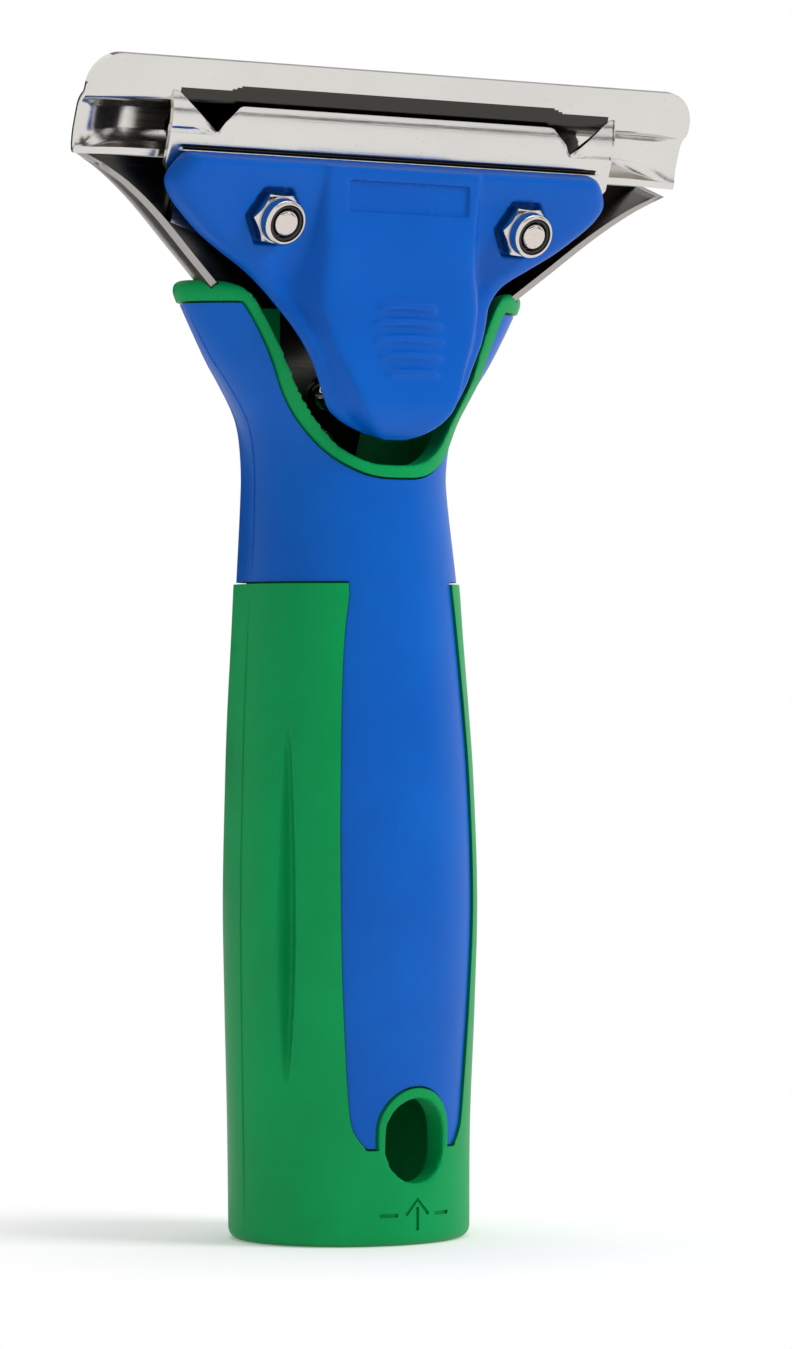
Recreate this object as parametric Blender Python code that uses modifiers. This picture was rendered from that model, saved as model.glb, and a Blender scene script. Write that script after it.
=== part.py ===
"""Window squeegee handle with its sprung clamping jaw, in metres, +Z up.

The handle stands on its base with its front towards -Y. A green core carries a blue cover on
its neck and front. A steel head leans forward out of the handle's mouth. A thumb lever with
the front jaw rocks on two locknuts, and a coil spring behind the lever keeps the jaw closed.
"""

import math

import bmesh
import bpy
from mathutils import Matrix, Vector

# Handle: overall and section sizes, widths along X and depths along Y.
HANDLE_HEIGHT = 0.1396
BASE_HALF_WIDTH = 0.0182
BASE_HALF_DEPTH = 0.0167
BELLY_HALF_WIDTH = 0.0191
BELLY_HALF_DEPTH = 0.0179
NECK_HALF_WIDTH = 0.0159
NECK_HALF_DEPTH = 0.0147
MOUTH_HALF_WIDTH = 0.0308
MOUTH_HALF_DEPTH = 0.0107
NECK_SET_BACK = 0.0018
BELLY_HEIGHT = 0.0500
FLARE_LENGTH = 0.0293
BASE_ROUND = 0.0016
RIM_ROUND = 0.0022

# Cover: its wall, where it starts, and the clearance that moulded pieces keep.
COVER_WALL = 0.0016
COVER_STEP = 0.0004
COLLAR_DROP = 0.0440
COLLAR_HEIGHT = HANDLE_HEIGHT - COLLAR_DROP
COLLAR_GAP = 0.0006
FIT_GAP = 0.0003
FINE_GAP = 0.0001

# Handle inside: the pole socket below and the head's cavity above.
CORE_WALL = 0.0032
SOCKET_MOUTH_RADIUS = 0.0134
SOCKET_END_RADIUS = 0.0122
SOCKET_DEPTH = 0.0620
CAVITY_DROP = 0.0356
CAVITY_FLOOR = HANDLE_HEIGHT - CAVITY_DROP
MOUTH_DROP = 0.0265
MOUTH_FLOOR = HANDLE_HEIGHT - MOUTH_DROP
RIM_WIDTH = 0.0021
SHOULDER_RIM = 0.0034

# Front panel of the cover, and the ring round the lock hole.
PANEL_HALF_WIDTH = 0.01175
PANEL_BOTTOM = 0.0142
RING_HALF_WIDTH = 0.00645
RING_TOP = 0.0231
HOLE_HALF_WIDTH = 0.0051
HOLE_BOTTOM = 0.0090
HOLE_TOP = 0.0213

# Long groove on each side of the grip.
GROOVE_DROP = 0.0131
GROOVE_TOP = COLLAR_HEIGHT - GROOVE_DROP
GROOVE_BOTTOM = 0.0215
GROOVE_WIDTH = 0.0030
GROOVE_DEPTH = 0.0007
GROOVE_TURN = math.radians(61.5)

# Head: where it stands on the handle and how far it leans forward.
HEAD_RISE = 0.0084
HEAD_SET_FORWARD = 0.0034
HEAD_LEAN = math.radians(20.0)

# Sheet metal of the head, in the head's own frame: y backwards, z up along the head.
PLATE_SHEET = 0.0012
WALL_SHEET = 0.0016
JAW_SHEET = 0.0010
CLAMP_SHEET = 0.0008
PLATE_FACE = 0.0013
PLATE_TOP = 0.0086
PLATE_TOP_HALF_WIDTH = 0.0500
PLATE_WALL_DEPTH = 0.0066
TANG_HALF_WIDTH = 0.0075
TANG_END = -0.0385
WALL_END = -0.0150
PAN_START = -0.0240

REAR_JAW_HALF_WIDTH = 0.0526
REAR_JAW_TOP = 0.0243
REAR_JAW_BOTTOM = 0.0098
REAR_JAW_CORNER = 0.0050
REAR_LIP_FACE = -0.0022
REAR_LIP_BOTTOM = 0.0188
TROUGH_FACE = 0.0020
TROUGH_HEIGHT = 0.0142
TROUGH_FLAT = 0.0012
FLANGE_EDGE = -0.0030
END_FLARE = 0.0007
END_FLARE_LENGTH = 0.0095
WEB_FACE = 0.0000
WEB_HALF_WIDTH = 0.0330
WEB_BOTTOM = -0.0025

FRONT_JAW_HALF_WIDTH = 0.0386
FRONT_JAW_FACE = -0.0046
FRONT_JAW_BOTTOM = -0.0040
FRONT_JAW_BEND = 0.0142
CLAW_TOP = 0.0196
LIP_HALF_WIDTH = 0.0273
LIP_TOP = 0.0180
NOTCH_HALF_WIDTH = 0.0309
NOTCH_FLOOR = 0.0141

# Bolts, locknuts and their rings.
BOLT_SPACING = 0.0433
BOLT_HEIGHT = 0.00345
BOLT_RADIUS = 0.00195
BOLT_HEAD_RADIUS = 0.0039
BOLT_HEAD_HEIGHT = 0.0022
BOLT_END = -0.01285
BOLT_CHAMFER = 0.00045
BOLT_HOLE_GAP = 0.0002
LEVER_HOLE_GAP = 0.0009
NUT_ACROSS_FLATS = 0.0070
NUT_HEX_HEIGHT = 0.0030
NUT_HEIGHT = 0.0050
NUT_FACE = -0.0076
NUT_COLLAR_RADIUS = 0.0033
NUT_ROUND = 0.0004
RING_OUTER_RADIUS = 0.00265
RING_INNER_RADIUS = 0.00215
RING_HEIGHT = 0.0012
POCKET_GAP = 0.0007

# Thumb lever, which sits a little to the left on its bolts.
LEVER_BACK = -0.0049
LEVER_PLATE_FRONT = -0.0089
LEVER_TOP = 0.0115
LEVER_HALF_WIDTH = 0.0382
LEVER_BODY_HALF_WIDTH = 0.0158
LEVER_BODY_PROUD = 0.0220
LEVER_NOSE = -0.0262
LEVER_EDGE_ROUND = 0.0030
LEVER_OFFSET = -0.0008
BADGE_HALF_WIDTH = 0.0105
BADGE_HEIGHT = 0.0042
BADGE_MIDDLE = 0.0075
BADGE_DEPTH = 0.0005

# Return spring, behind the thumb rest.
SPRING_HEIGHT = -0.0130
SPRING_RADIUS = 0.0038
SPRING_WIRE_RADIUS = 0.0005
SPRING_TURNS = 6
SPRING_POINTS_PER_TURN = 10
SPRING_POCKET_FLOOR = -0.0120
SPRING_POCKET_GAP = 0.0007

# Screws that hold the tang to the core, and the core's seat and ribs for the head.
SCREW_RADIUS = 0.0014
SCREW_HEAD_RADIUS = 0.0026
SCREW_HEAD_HEIGHT = 0.0016
SCREW_LENGTH = 0.0060
SCREW_PLACES = (-0.0255, -0.0335)
SCREW_SLOT = 0.0006
SEAT_HALF_WIDTH = 0.0088
SEAT_TOP = -0.0200
RIB_PLACE = 0.0138
RIB_HALF_WIDTH = 0.0015
RIB_DROP = 0.0036
RIB_TOP = HANDLE_HEIGHT - RIB_DROP
RIB_DEPTH = 0.0042

# Smoothness of the round shapes, and how far a cutter runs past what it cuts.
RING_POINTS = 44
RING_STEP = 0.0056
ROUND_SIDES = 24
COLLAR_SIDES = 20
OVERRUN = 0.0040

GREEN = (0.010, 0.275, 0.095, 1.0)
BLUE = (0.004, 0.130, 0.560, 1.0)
STEEL = (0.62, 0.60, 0.57, 1.0)
NYLON = (0.03, 0.03, 0.035, 1.0)

# Each row is a share of the stretch's own height, then how far the half width and the half
# depth have gone from the first named size to the second, and the share of the set-back.
GRIP_SHARES = (
    (0.0, 0.0, 0.0, 0.17),
    (0.335, 0.22, 0.0, 0.22),
    (0.70, 0.78, 0.58, 0.06),
    (1.0, 1.0, 1.0, 0.0),
)
WAIST_SHARES = (
    (0.0, 0.0, 0.0, 0.0),
    (0.292, 0.16, 0.11, 0.13),
    (0.449, 0.31, 0.25, 0.30),
    (0.63, 0.53, 0.47, 0.45),
    (0.755, 0.67, 0.60, 0.55),
    (1.0, 1.0, 1.0, 1.0),
)
FLARE_SHARES = (
    (0.0, 0.0, 0.0, 1.0),
    (0.152, 0.02, 0.06, 0.95),
    (0.286, 0.085, 0.12, 0.75),
    (0.381, 0.19, 0.19, 0.55),
    (0.538, 0.42, 0.26, 0.35),
    (0.605, 0.53, 0.45, 0.30),
    (0.705, 0.67, 0.67, 0.20),
    (0.862, 0.86, 0.91, 0.12),
    (1.0, 1.0, 1.0, 0.10),
)

# Front edge of the mouth: share of the mouth's half width, share of its height.
MOUTH_SHARES = (
    (0.0, 0.0), (0.11, 0.006), (0.20, 0.04), (0.30, 0.12), (0.40, 0.27), (0.50, 0.46),
    (0.575, 0.66), (0.65, 0.83), (0.71, 0.93), (0.79, 0.985), (0.92, 1.0),
)

# Half outline of the front panel: share of its half width, share of the way from its foot
# to the collar.
PANEL_SHARES = (
    (0.60, 0.0), (0.66, 0.002), (0.76, 0.0205), (0.84, 0.055), (0.915, 0.178), (0.975, 0.319),
    (1.0, 0.448), (0.985, 0.60), (0.93, 0.765), (0.85, 0.906), (0.76, 1.0),
)

# Lever, from its top edge to its nose. Each row is a share of that way down, the half width's
# share, the rear's share of that width, the raised middle's half width and its blend's as
# shares, how far the middle, the wings and the back are on the way to the proudest point, and
# the share of the edge's rounding.
LEVER_SHARES = (
    (0.001, 0.916, 1.000, 0.785, 0.911, 0.023, -0.046, 0.000, 0.47),
    (0.013, 0.940, 1.000, 0.785, 0.911, 0.038, -0.015, 0.000, 0.65),
    (0.066, 0.984, 1.000, 0.785, 0.924, 0.076, 0.000, 0.000, 0.94),
    (0.119, 1.000, 1.000, 0.785, 0.937, 0.122, 0.000, 0.000, 1.00),
    (0.186, 0.961, 1.000, 0.778, 0.949, 0.176, 0.000, 0.000, 1.00),
    (0.252, 0.890, 1.000, 0.772, 0.962, 0.252, 0.000, 0.000, 1.00),
    (0.318, 0.806, 1.000, 0.772, 0.981, 0.313, 0.000, 0.000, 1.00),
    (0.385, 0.699, 1.000, 0.785, 1.013, 0.366, 0.000, 0.000, 0.94),
    (0.451, 0.589, 0.987, 0.810, 1.038, 0.427, 0.023, 0.000, 0.88),
    (0.517, 0.513, 0.949, 0.816, 1.000, 0.496, 0.153, 0.000, 0.82),
    (0.576, 0.466, 0.899, 0.778, 0.937, 0.565, 0.328, 0.018, 0.74),
    (0.637, 0.421, 0.820, 0.722, 0.867, 0.656, 0.481, 0.064, 0.68),
    (0.716, 0.372, 0.732, 0.633, 0.759, 0.786, 0.603, 0.158, 0.62),
    (0.790, 0.338, 0.667, 0.557, 0.677, 0.931, 0.679, 0.251, 0.62),
    (0.859, 0.304, 0.655, 0.481, 0.595, 1.000, 0.710, 0.345, 0.62),
    (0.920, 0.259, 0.667, 0.373, 0.487, 0.985, 0.695, 0.439, 0.59),
    (0.968, 0.181, 0.725, 0.247, 0.316, 0.916, 0.664, 0.520, 0.47),
    (1.000, 0.094, 0.778, 0.120, 0.177, 0.817, 0.649, 0.602, 0.24),
)

# Back plate: share of the way up its flared part, share of the way from the tang's half width.
PAN_SHARES = (
    (0.0, 0.0), (0.123, 0.17), (0.291, 0.30), (0.414, 0.405), (0.592, 0.565), (0.791, 0.745),
    (0.92, 0.885), (1.0, 1.0),
)


def smooth(rows, at):
    """Read a table of rows, the first column rising, with a smooth curve through its points."""
    last = len(rows) - 1
    index = max(i for i in range(last) if at >= rows[i][0] or i == 0)
    low, high = rows[index], rows[index + 1]
    span = high[0] - low[0]
    t = min(max((at - low[0]) / span, 0.0), 1.0)
    before, after = rows[max(index - 1, 0)], rows[min(index + 2, last)]
    values = []
    for column in range(1, len(low)):
        step = high[column] - low[column]
        slope_low = step if index == 0 else (high[column] - before[column]) * span / (high[0] - before[0])
        slope_high = step if index == last - 1 else (after[column] - low[column]) * span / (after[0] - low[0])
        values.append(
            low[column] * (2 * t ** 3 - 3 * t ** 2 + 1) + slope_low * (t ** 3 - 2 * t ** 2 + t)
            + high[column] * (3 * t ** 2 - 2 * t ** 3) + slope_high * (t ** 3 - t ** 2)
        )
    return values


def mix(low, high, share):
    return low + (high - low) * share


def handle_section(height):
    """Half width, half depth and set-back of the handle's outer skin at a height."""
    belly = (BELLY_HALF_WIDTH, BELLY_HALF_DEPTH)
    neck = (NECK_HALF_WIDTH, NECK_HALF_DEPTH)
    neck_height = HANDLE_HEIGHT - FLARE_LENGTH
    if height <= BELLY_HEIGHT:
        width, depth, back = smooth(GRIP_SHARES, height / BELLY_HEIGHT)
        low, high = (BASE_HALF_WIDTH, BASE_HALF_DEPTH), belly
    elif height <= neck_height:
        width, depth, back = smooth(WAIST_SHARES, (height - BELLY_HEIGHT) / (neck_height - BELLY_HEIGHT))
        low, high = belly, neck
    else:
        width, depth, back = smooth(FLARE_SHARES, (height - neck_height) / FLARE_LENGTH)
        low, high = neck, (MOUTH_HALF_WIDTH, MOUTH_HALF_DEPTH)
    return mix(low[0], high[0], width), mix(low[1], high[1], depth), NECK_SET_BACK * back


def handle_ring(height, inset):
    """One closed ring of the handle's skin, drawn in by an inset."""
    half_width, half_depth, back = handle_section(height)
    ring = []
    for index in range(RING_POINTS):
        turn = 2 * math.pi * index / RING_POINTS
        ring.append(Vector((
            (half_width - inset) * math.cos(turn),
            back + (half_depth - inset) * math.sin(turn),
            height,
        )))
    return ring


def handle_heights(low, high):
    """Heights between two ends, evenly spaced, with the belly's own height where it is inside."""
    count = max(2, round((high - low) / RING_STEP))
    heights = [mix(low, high, index / count) for index in range(count + 1)]
    if low < BELLY_HEIGHT < high:
        near = min(range(1, count), key=lambda index: abs(heights[index] - BELLY_HEIGHT))
        heights[near] = BELLY_HEIGHT
    return heights


def clear_scene():
    for item in list(bpy.data.objects):
        bpy.data.objects.remove(item, do_unlink=True)


def collection(name):
    made = bpy.data.collections.new(name)
    bpy.context.scene.collection.children.link(made)
    return made


def material(name, colour, roughness, metallic):
    made = bpy.data.materials.new(name)
    made.use_nodes = True
    shader = made.node_tree.nodes["Principled BSDF"]
    shader.inputs["Base Color"].default_value = colour
    shader.inputs["Roughness"].default_value = roughness
    shader.inputs["Metallic"].default_value = metallic
    made.diffuse_color = colour
    return made


def finish_mesh(bm, name):
    """Weld, point the faces outwards and store the mesh."""
    bmesh.ops.remove_doubles(bm, verts=bm.verts, dist=1e-7)
    bmesh.ops.recalc_face_normals(bm, faces=bm.faces)
    mesh = bpy.data.meshes.new(name)
    bm.to_mesh(mesh)
    bm.free()
    return mesh


def loft(name, rings):
    """A closed solid through rings of the same number of points."""
    bm = bmesh.new()
    rows = [[bm.verts.new(point) for point in ring] for ring in rings]
    count = len(rows[0])
    for lower, upper in zip(rows, rows[1:]):
        for index in range(count):
            after = (index + 1) % count
            bm.faces.new((lower[index], lower[after], upper[after], upper[index]))
    bm.faces.new(list(reversed(rows[0])))
    bm.faces.new(rows[-1])
    return finish_mesh(bm, name)


def flat_outline(name, points, thickness):
    """A flat outline in X and Z, centred on Y, of one thickness."""
    curve = bpy.data.curves.new(name, "CURVE")
    curve.dimensions = "2D"
    curve.fill_mode = "BOTH"
    curve.extrude = thickness / 2
    spline = curve.splines.new("POLY")
    spline.points.add(len(points) - 1)
    for point, (across, up) in zip(spline.points, points):
        point.co = (across, up, 0.0, 1.0)
    spline.use_cyclic_u = True
    holder = bpy.data.objects.new(name, curve)
    bpy.context.scene.collection.objects.link(holder)
    mesh = bpy.data.meshes.new_from_object(holder.evaluated_get(bpy.context.evaluated_depsgraph_get()))
    bpy.data.objects.remove(holder)
    bm = bmesh.new()
    bm.from_mesh(mesh)
    bpy.data.meshes.remove(mesh)
    bmesh.ops.rotate(bm, verts=bm.verts, cent=(0, 0, 0), matrix=Matrix.Rotation(math.pi / 2, 3, "X"))
    return finish_mesh(bm, name)


def plate(name, points, front, back):
    """A flat outline in X and Z that fills Y from front to back."""
    mesh = flat_outline(name, points, back - front)
    mesh.transform(Matrix.Translation((0, (front + back) / 2, 0)))
    return mesh


def turned(name, profile, sides=ROUND_SIDES):
    """A solid turned about the Y axis through (radius, y) points, both ends closed."""
    rings = []
    for radius, along in profile:
        rings.append([
            Vector((
                radius * math.cos(2 * math.pi * index / sides), along,
                radius * math.sin(2 * math.pi * index / sides),
            ))
            for index in range(sides)
        ])
    return loft(name, rings)


def block(name, low, high):
    bm = bmesh.new()
    bmesh.ops.create_cube(bm, size=1.0)
    size = [top - bottom for bottom, top in zip(low, high)]
    middle = [(top + bottom) / 2 for bottom, top in zip(low, high)]
    bmesh.ops.scale(bm, verts=bm.verts, vec=size)
    bmesh.ops.translate(bm, verts=bm.verts, vec=middle)
    return finish_mesh(bm, name)


def swept_sheet(name, stations):
    """An open sheet through stations along X, each an X place and its profile of (y, z) points."""
    bm = bmesh.new()
    rows = [[bm.verts.new((x, y, z)) for y, z in profile] for x, profile in stations]
    for left, right in zip(rows, rows[1:]):
        for index in range(len(left) - 1):
            bm.faces.new((left[index], right[index], right[index + 1], left[index + 1]))
    mesh = bpy.data.meshes.new(name)
    bm.to_mesh(mesh)
    bm.free()
    return mesh


def mirrored(half):
    """A closed outline from its right half, listed from bottom to top."""
    left = [(-across, up) for across, up in reversed(half) if across > 0]
    return list(half) + left


def stadium(half_width, low, high, steps=12):
    """A slot outline that stands upright, with round ends."""
    points = []
    for centre, start in ((high - half_width, 0.0), (low + half_width, math.pi)):
        for index in range(steps + 1):
            turn = start + math.pi * index / steps
            points.append((half_width * math.cos(turn), centre + half_width * math.sin(turn)))
    return points


def hexagon(across_flats, centre):
    """A hexagon in X and Z with a flat on top."""
    radius = across_flats / math.sqrt(3)
    return [
        (centre[0] + radius * math.cos(math.pi * index / 3), centre[1] + radius * math.sin(math.pi * index / 3))
        for index in range(6)
    ]


def inset_outline(points, distance):
    """Move each side of a closed outline, listed anticlockwise, inwards by a distance."""
    moved = []
    count = len(points)
    for index, point in enumerate(points):
        here = Vector(point)
        before = (here - Vector(points[index - 1])).normalized()
        after = (Vector(points[(index + 1) % count]) - here).normalized()
        inward = Vector((-before.y - after.y, before.x + after.x)).normalized()
        reach = max(0.5, inward.dot(Vector((-before.y, before.x))))
        moved.append(tuple(here + inward * (distance / reach)))
    return moved


class Shop:
    """Keeps the collections, materials and frames that the pieces share."""

    def __init__(self):
        clear_scene()
        self.pieces = collection("window_squeegee")
        self.cutters = collection("cutters")
        self.materials = {
            "green": material("green_plastic", GREEN, 0.45, 0.0),
            "blue": material("blue_plastic", BLUE, 0.42, 0.0),
            "steel": material("polished_steel", STEEL, 0.22, 1.0),
            "nylon": material("dark_nylon", NYLON, 0.5, 0.0),
        }
        self.head = self.empty("head_frame", (0, -HEAD_SET_FORWARD, HANDLE_HEIGHT + HEAD_RISE))
        self.head.rotation_euler = (HEAD_LEAN, 0, 0)
        self.pivot = self.empty("jaw_pivot", (0, NUT_FACE, BOLT_HEIGHT + NUT_ACROSS_FLATS / 2))
        self.pivot.parent = self.head

    def empty(self, name, place):
        made = bpy.data.objects.new(name, None)
        made.location = place
        made.empty_display_size = NECK_HALF_WIDTH
        self.pieces.objects.link(made)
        return made

    def place(self, item, frame):
        """Put an object whose mesh is drawn in the handle's, the head's or the lever's frame."""
        if frame == "head":
            item.parent = self.head
        elif frame == "lever":
            item.parent = self.pivot
            item.location = -self.pivot.location

    def piece(self, name, mesh, finish, frame="handle"):
        item = bpy.data.objects.new(name, mesh)
        mesh.materials.append(self.materials[finish])
        self.pieces.objects.link(item)
        self.place(item, frame)
        return item

    def cutter(self, name, mesh, frame="handle"):
        item = bpy.data.objects.new(name, mesh)
        item.hide_render = True
        item.display_type = "WIRE"
        self.cutters.objects.link(item)
        self.place(item, frame)
        return item


def boolean(target, tool, operation):
    modifier = target.modifiers.new(tool.name, "BOOLEAN")
    modifier.operation = operation
    modifier.solver = "EXACT"
    modifier.object = tool


def smooth_round(item, angle=math.radians(35)):
    item.data.shade_smooth()
    item.data.set_sharp_from_angle(angle=angle)


def skin_loft(name, low, high, inset, ends=(0.0, 0.0)):
    """A loft of the handle's skin between two heights, its two ends rounded over."""
    heights = handle_heights(low, high)
    rings = [handle_ring(height, inset) for height in heights]
    if ends[0]:
        rings[0] = handle_ring(low + ends[0], inset)
        rings.insert(0, handle_ring(low + ends[0] * 0.3, inset + ends[0] * 0.3))
        rings.insert(0, handle_ring(low, inset + ends[0]))
        for point in rings[0]:
            point.z = low
    if ends[1]:
        rings[-1] = handle_ring(high - ends[1], inset)
        rings.append(handle_ring(high - ends[1] * 0.3, inset + ends[1] * 0.3))
        rings.append(handle_ring(high, inset + ends[1]))
    return loft(name, rings)


def mouth_outline(grow):
    """The front opening of the mouth in X and Z, open at the top, grown outwards by a width."""
    height = HANDLE_HEIGHT - MOUTH_FLOOR
    half = [
        (MOUTH_HALF_WIDTH * across, MOUTH_FLOOR + height * up) for across, up in MOUTH_SHARES
    ]
    outline = mirrored(half + [(half[-1][0], HANDLE_HEIGHT + OVERRUN)])
    return inset_outline(outline, -grow) if grow else outline


def panel_outline(grow):
    """The front panel with the ring cut out of its foot, as X and Z points."""
    half = [
        (PANEL_HALF_WIDTH * across, mix(PANEL_BOTTOM, COLLAR_HEIGHT, up)) for across, up in PANEL_SHARES
    ]
    ring_centre = RING_TOP - RING_HALF_WIDTH
    arc = []
    steps = 8
    for index in range(steps + 1):
        turn = math.pi / 2 * (1 - index / steps)
        arc.append((
            (RING_HALF_WIDTH - grow) * math.cos(turn),
            ring_centre + (RING_HALF_WIDTH - grow) * math.sin(turn),
        ))
    arc[0] = (0.0, arc[0][1])
    foot = (RING_HALF_WIDTH - grow, half[0][1] - grow)
    outer = [(across + grow, up - (grow if index < 2 else 0.0)) for index, (across, up) in enumerate(half)]
    outer[-1] = (outer[-1][0], COLLAR_HEIGHT + OVERRUN)
    right = arc + [foot] + outer
    return mirrored(right)


def cover_region(shop, name, grow):
    """The space that the cover fills, grown all round: the neck above the collar, and the panel."""
    bottom = COLLAR_HEIGHT + COLLAR_GAP - grow
    wide = MOUTH_HALF_WIDTH + OVERRUN
    top = HANDLE_HEIGHT - SHOULDER_RIM + grow
    region = shop.cutter(name, block(name, (-wide, -wide, bottom), (wide, wide, top)))
    mouth = shop.cutter(
        name + "_mouth", plate(name + "_mouth", mouth_outline(RIM_WIDTH - grow), -wide - 2 * OVERRUN, 0.0)
    )
    boolean(region, mouth, "DIFFERENCE")
    panel = shop.cutter(name + "_panel", plate(
        name + "_panel", panel_outline(grow), -wide - OVERRUN, 0.0
    ))
    boolean(region, panel, "UNION")
    return region


def side_groove(shop, side):
    """A long shallow cutter, wide in its middle and thin at its ends, that follows the grip."""
    rings = []
    steps = 14
    for index in range(steps + 1):
        share = index / steps
        height = mix(GROOVE_BOTTOM, GROOVE_TOP, share)
        swell = max(math.sin(math.pi * share ** 0.75), 0.04)
        half_width, half_depth, back = handle_section(height)
        turn = GROOVE_TURN
        place = Vector((side * half_width * math.sin(turn), back - half_depth * math.cos(turn), height))
        out = Vector((side * math.sin(turn) / half_width, -math.cos(turn) / half_depth, 0)).normalized()
        along = Vector((-out.y, out.x, 0))
        reach = GROOVE_WIDTH / 2 * swell
        depth = GROOVE_DEPTH * swell
        rings.append([
            place + along * reach + out * depth,
            place - out * depth,
            place - along * reach + out * depth,
            place + out * OVERRUN,
        ])
    return shop.cutter("groove_cutter", loft("groove_cutter", rings))


def plate_rear(height):
    """World Y of the back plate's rear face at a world height, on the middle of the head."""
    head_z = HANDLE_HEIGHT + HEAD_RISE
    rear = PLATE_FACE + PLATE_SHEET
    along = (height - head_z - rear * math.sin(HEAD_LEAN)) / math.cos(HEAD_LEAN)
    return -HEAD_SET_FORWARD + rear * math.cos(HEAD_LEAN) - along * math.sin(HEAD_LEAN)


def cavity_cutter(shop):
    """The hollow of the neck, less the seat behind the tang and the two ribs beside the lever."""
    hollow = shop.cutter(
        "cavity", skin_loft("cavity", CAVITY_FLOOR, HANDLE_HEIGHT + OVERRUN / 2, CORE_WALL)
    )
    seat_front = PLATE_FACE + PLATE_SHEET + FIT_GAP
    seat = shop.cutter("seat", block(
        "seat", (-SEAT_HALF_WIDTH, seat_front, TANG_END - 2 * OVERRUN),
        (SEAT_HALF_WIDTH, seat_front + MOUTH_HALF_WIDTH, SEAT_TOP),
    ), "head")
    boolean(hollow, seat, "DIFFERENCE")
    for side in (-1, 1):
        middle = side * RIB_PLACE
        rib_back = plate_rear(RIB_TOP) - PLATE_SHEET / math.cos(HEAD_LEAN) - FIT_GAP
        rib = shop.cutter("rib_space", block(
            "rib_space", (middle - RIB_HALF_WIDTH, rib_back - RIB_DEPTH, CAVITY_FLOOR - OVERRUN),
            (middle + RIB_HALF_WIDTH, rib_back - FIT_GAP, RIB_TOP),
        ))
        boolean(hollow, rib, "DIFFERENCE")
    return hollow


def make_core(shop):
    """The green core: grip, base, pole socket, and the liner and rim of the neck."""
    mesh = skin_loft("handle_core", 0.0, HANDLE_HEIGHT, 0.0, (BASE_ROUND, RIM_ROUND))
    core = shop.piece("handle_core", mesh, "green")
    pocket = cover_region(shop, "cover_pocket", FIT_GAP)
    liner = shop.cutter("liner", skin_loft(
        "liner", -OVERRUN, HANDLE_HEIGHT + OVERRUN / 2, COVER_WALL + FIT_GAP
    ))
    boolean(pocket, liner, "DIFFERENCE")
    boolean(core, pocket, "DIFFERENCE")
    boolean(core, cavity_cutter(shop), "DIFFERENCE")
    wide = MOUTH_HALF_WIDTH + OVERRUN
    mouth = shop.cutter("mouth", plate("mouth", mouth_outline(0.0), -wide, 0.0))
    boolean(core, mouth, "DIFFERENCE")
    socket = shop.cutter("socket", loft("socket", [
        [
            Vector((
                radius * math.cos(2 * math.pi * index / ROUND_SIDES),
                NECK_SET_BACK * GRIP_SHARES[0][3] + radius * math.sin(2 * math.pi * index / ROUND_SIDES),
                height,
            ))
            for index in range(ROUND_SIDES)
        ]
        for radius, height in ((SOCKET_MOUTH_RADIUS, -OVERRUN), (SOCKET_END_RADIUS, SOCKET_DEPTH))
    ]))
    boolean(core, socket, "DIFFERENCE")
    hole = shop.cutter("lock_hole", plate(
        "lock_hole", stadium(HOLE_HALF_WIDTH, HOLE_BOTTOM, HOLE_TOP), -wide, -SOCKET_END_RADIUS / 2
    ))
    boolean(core, hole, "DIFFERENCE")
    boolean(core, pan_space(shop), "DIFFERENCE")
    for side in (-1, 1):
        boolean(core, side_groove(shop, side), "DIFFERENCE")
    for place in SCREW_PLACES:
        pilot = shop.cutter("pilot", turned("pilot", (
            (SCREW_RADIUS + BOLT_HOLE_GAP, PLATE_FACE), (SCREW_RADIUS + BOLT_HOLE_GAP, SCREW_LENGTH + FIT_GAP),
        ), 12), "head")
        pilot.location.z = place
        boolean(core, pilot, "DIFFERENCE")
    smooth_round(core)
    return core


def make_cover(shop):
    """The blue cover: a sleeve on the neck and a panel down the front, in one moulding."""
    mesh = skin_loft("grip_cover", PANEL_BOTTOM - OVERRUN, HANDLE_HEIGHT, COVER_STEP)
    cover = shop.piece("grip_cover", mesh, "blue")
    inside = shop.cutter("cover_inside", skin_loft(
        "cover_inside", PANEL_BOTTOM - 2 * OVERRUN, HANDLE_HEIGHT + OVERRUN / 2, COVER_WALL
    ))
    boolean(cover, inside, "DIFFERENCE")
    boolean(cover, cover_region(shop, "cover_space", 0.0), "INTERSECT")
    smooth_round(cover)
    return cover


def plate_half_width(z):
    """Half width of the back plate at a height on the head."""
    share = smooth(PAN_SHARES, (z - PAN_START) / (PLATE_TOP - PAN_START))[0]
    return mix(TANG_HALF_WIDTH, PLATE_TOP_HALF_WIDTH, max(share, 0.0))


def plate_outline(inset, top, bottom):
    steps = 14
    half = [(TANG_HALF_WIDTH - inset, bottom)] if bottom < PAN_START else []
    start = max(bottom, PAN_START)
    for index in range(steps + 1):
        z = mix(start, PLATE_TOP, index / steps)
        half.append((plate_half_width(z) - inset, z))
    if top > PLATE_TOP:
        half.append((half[-1][0] + (top - PLATE_TOP), top))
    return mirrored(half)


def hollow_pan(shop, pan, grow):
    """Cut the inside of the pan, or of the space it stands in, out of a solid outline."""
    front = PLATE_FACE + PLATE_SHEET - PLATE_WALL_DEPTH - grow - OVERRUN
    inner = shop.cutter("pan_inner", plate(
        "pan_inner", plate_outline(WALL_SHEET + grow, PLATE_TOP + OVERRUN, WALL_END - WALL_SHEET),
        front, PLATE_FACE - grow,
    ), "head")
    boolean(pan, inner, "DIFFERENCE")
    low = shop.cutter("pan_low", block(
        "pan_low", (-PLATE_TOP_HALF_WIDTH, front, TANG_END - OVERRUN),
        (PLATE_TOP_HALF_WIDTH, PLATE_FACE - grow, WALL_END - grow),
    ), "head")
    boolean(pan, low, "DIFFERENCE")


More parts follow.
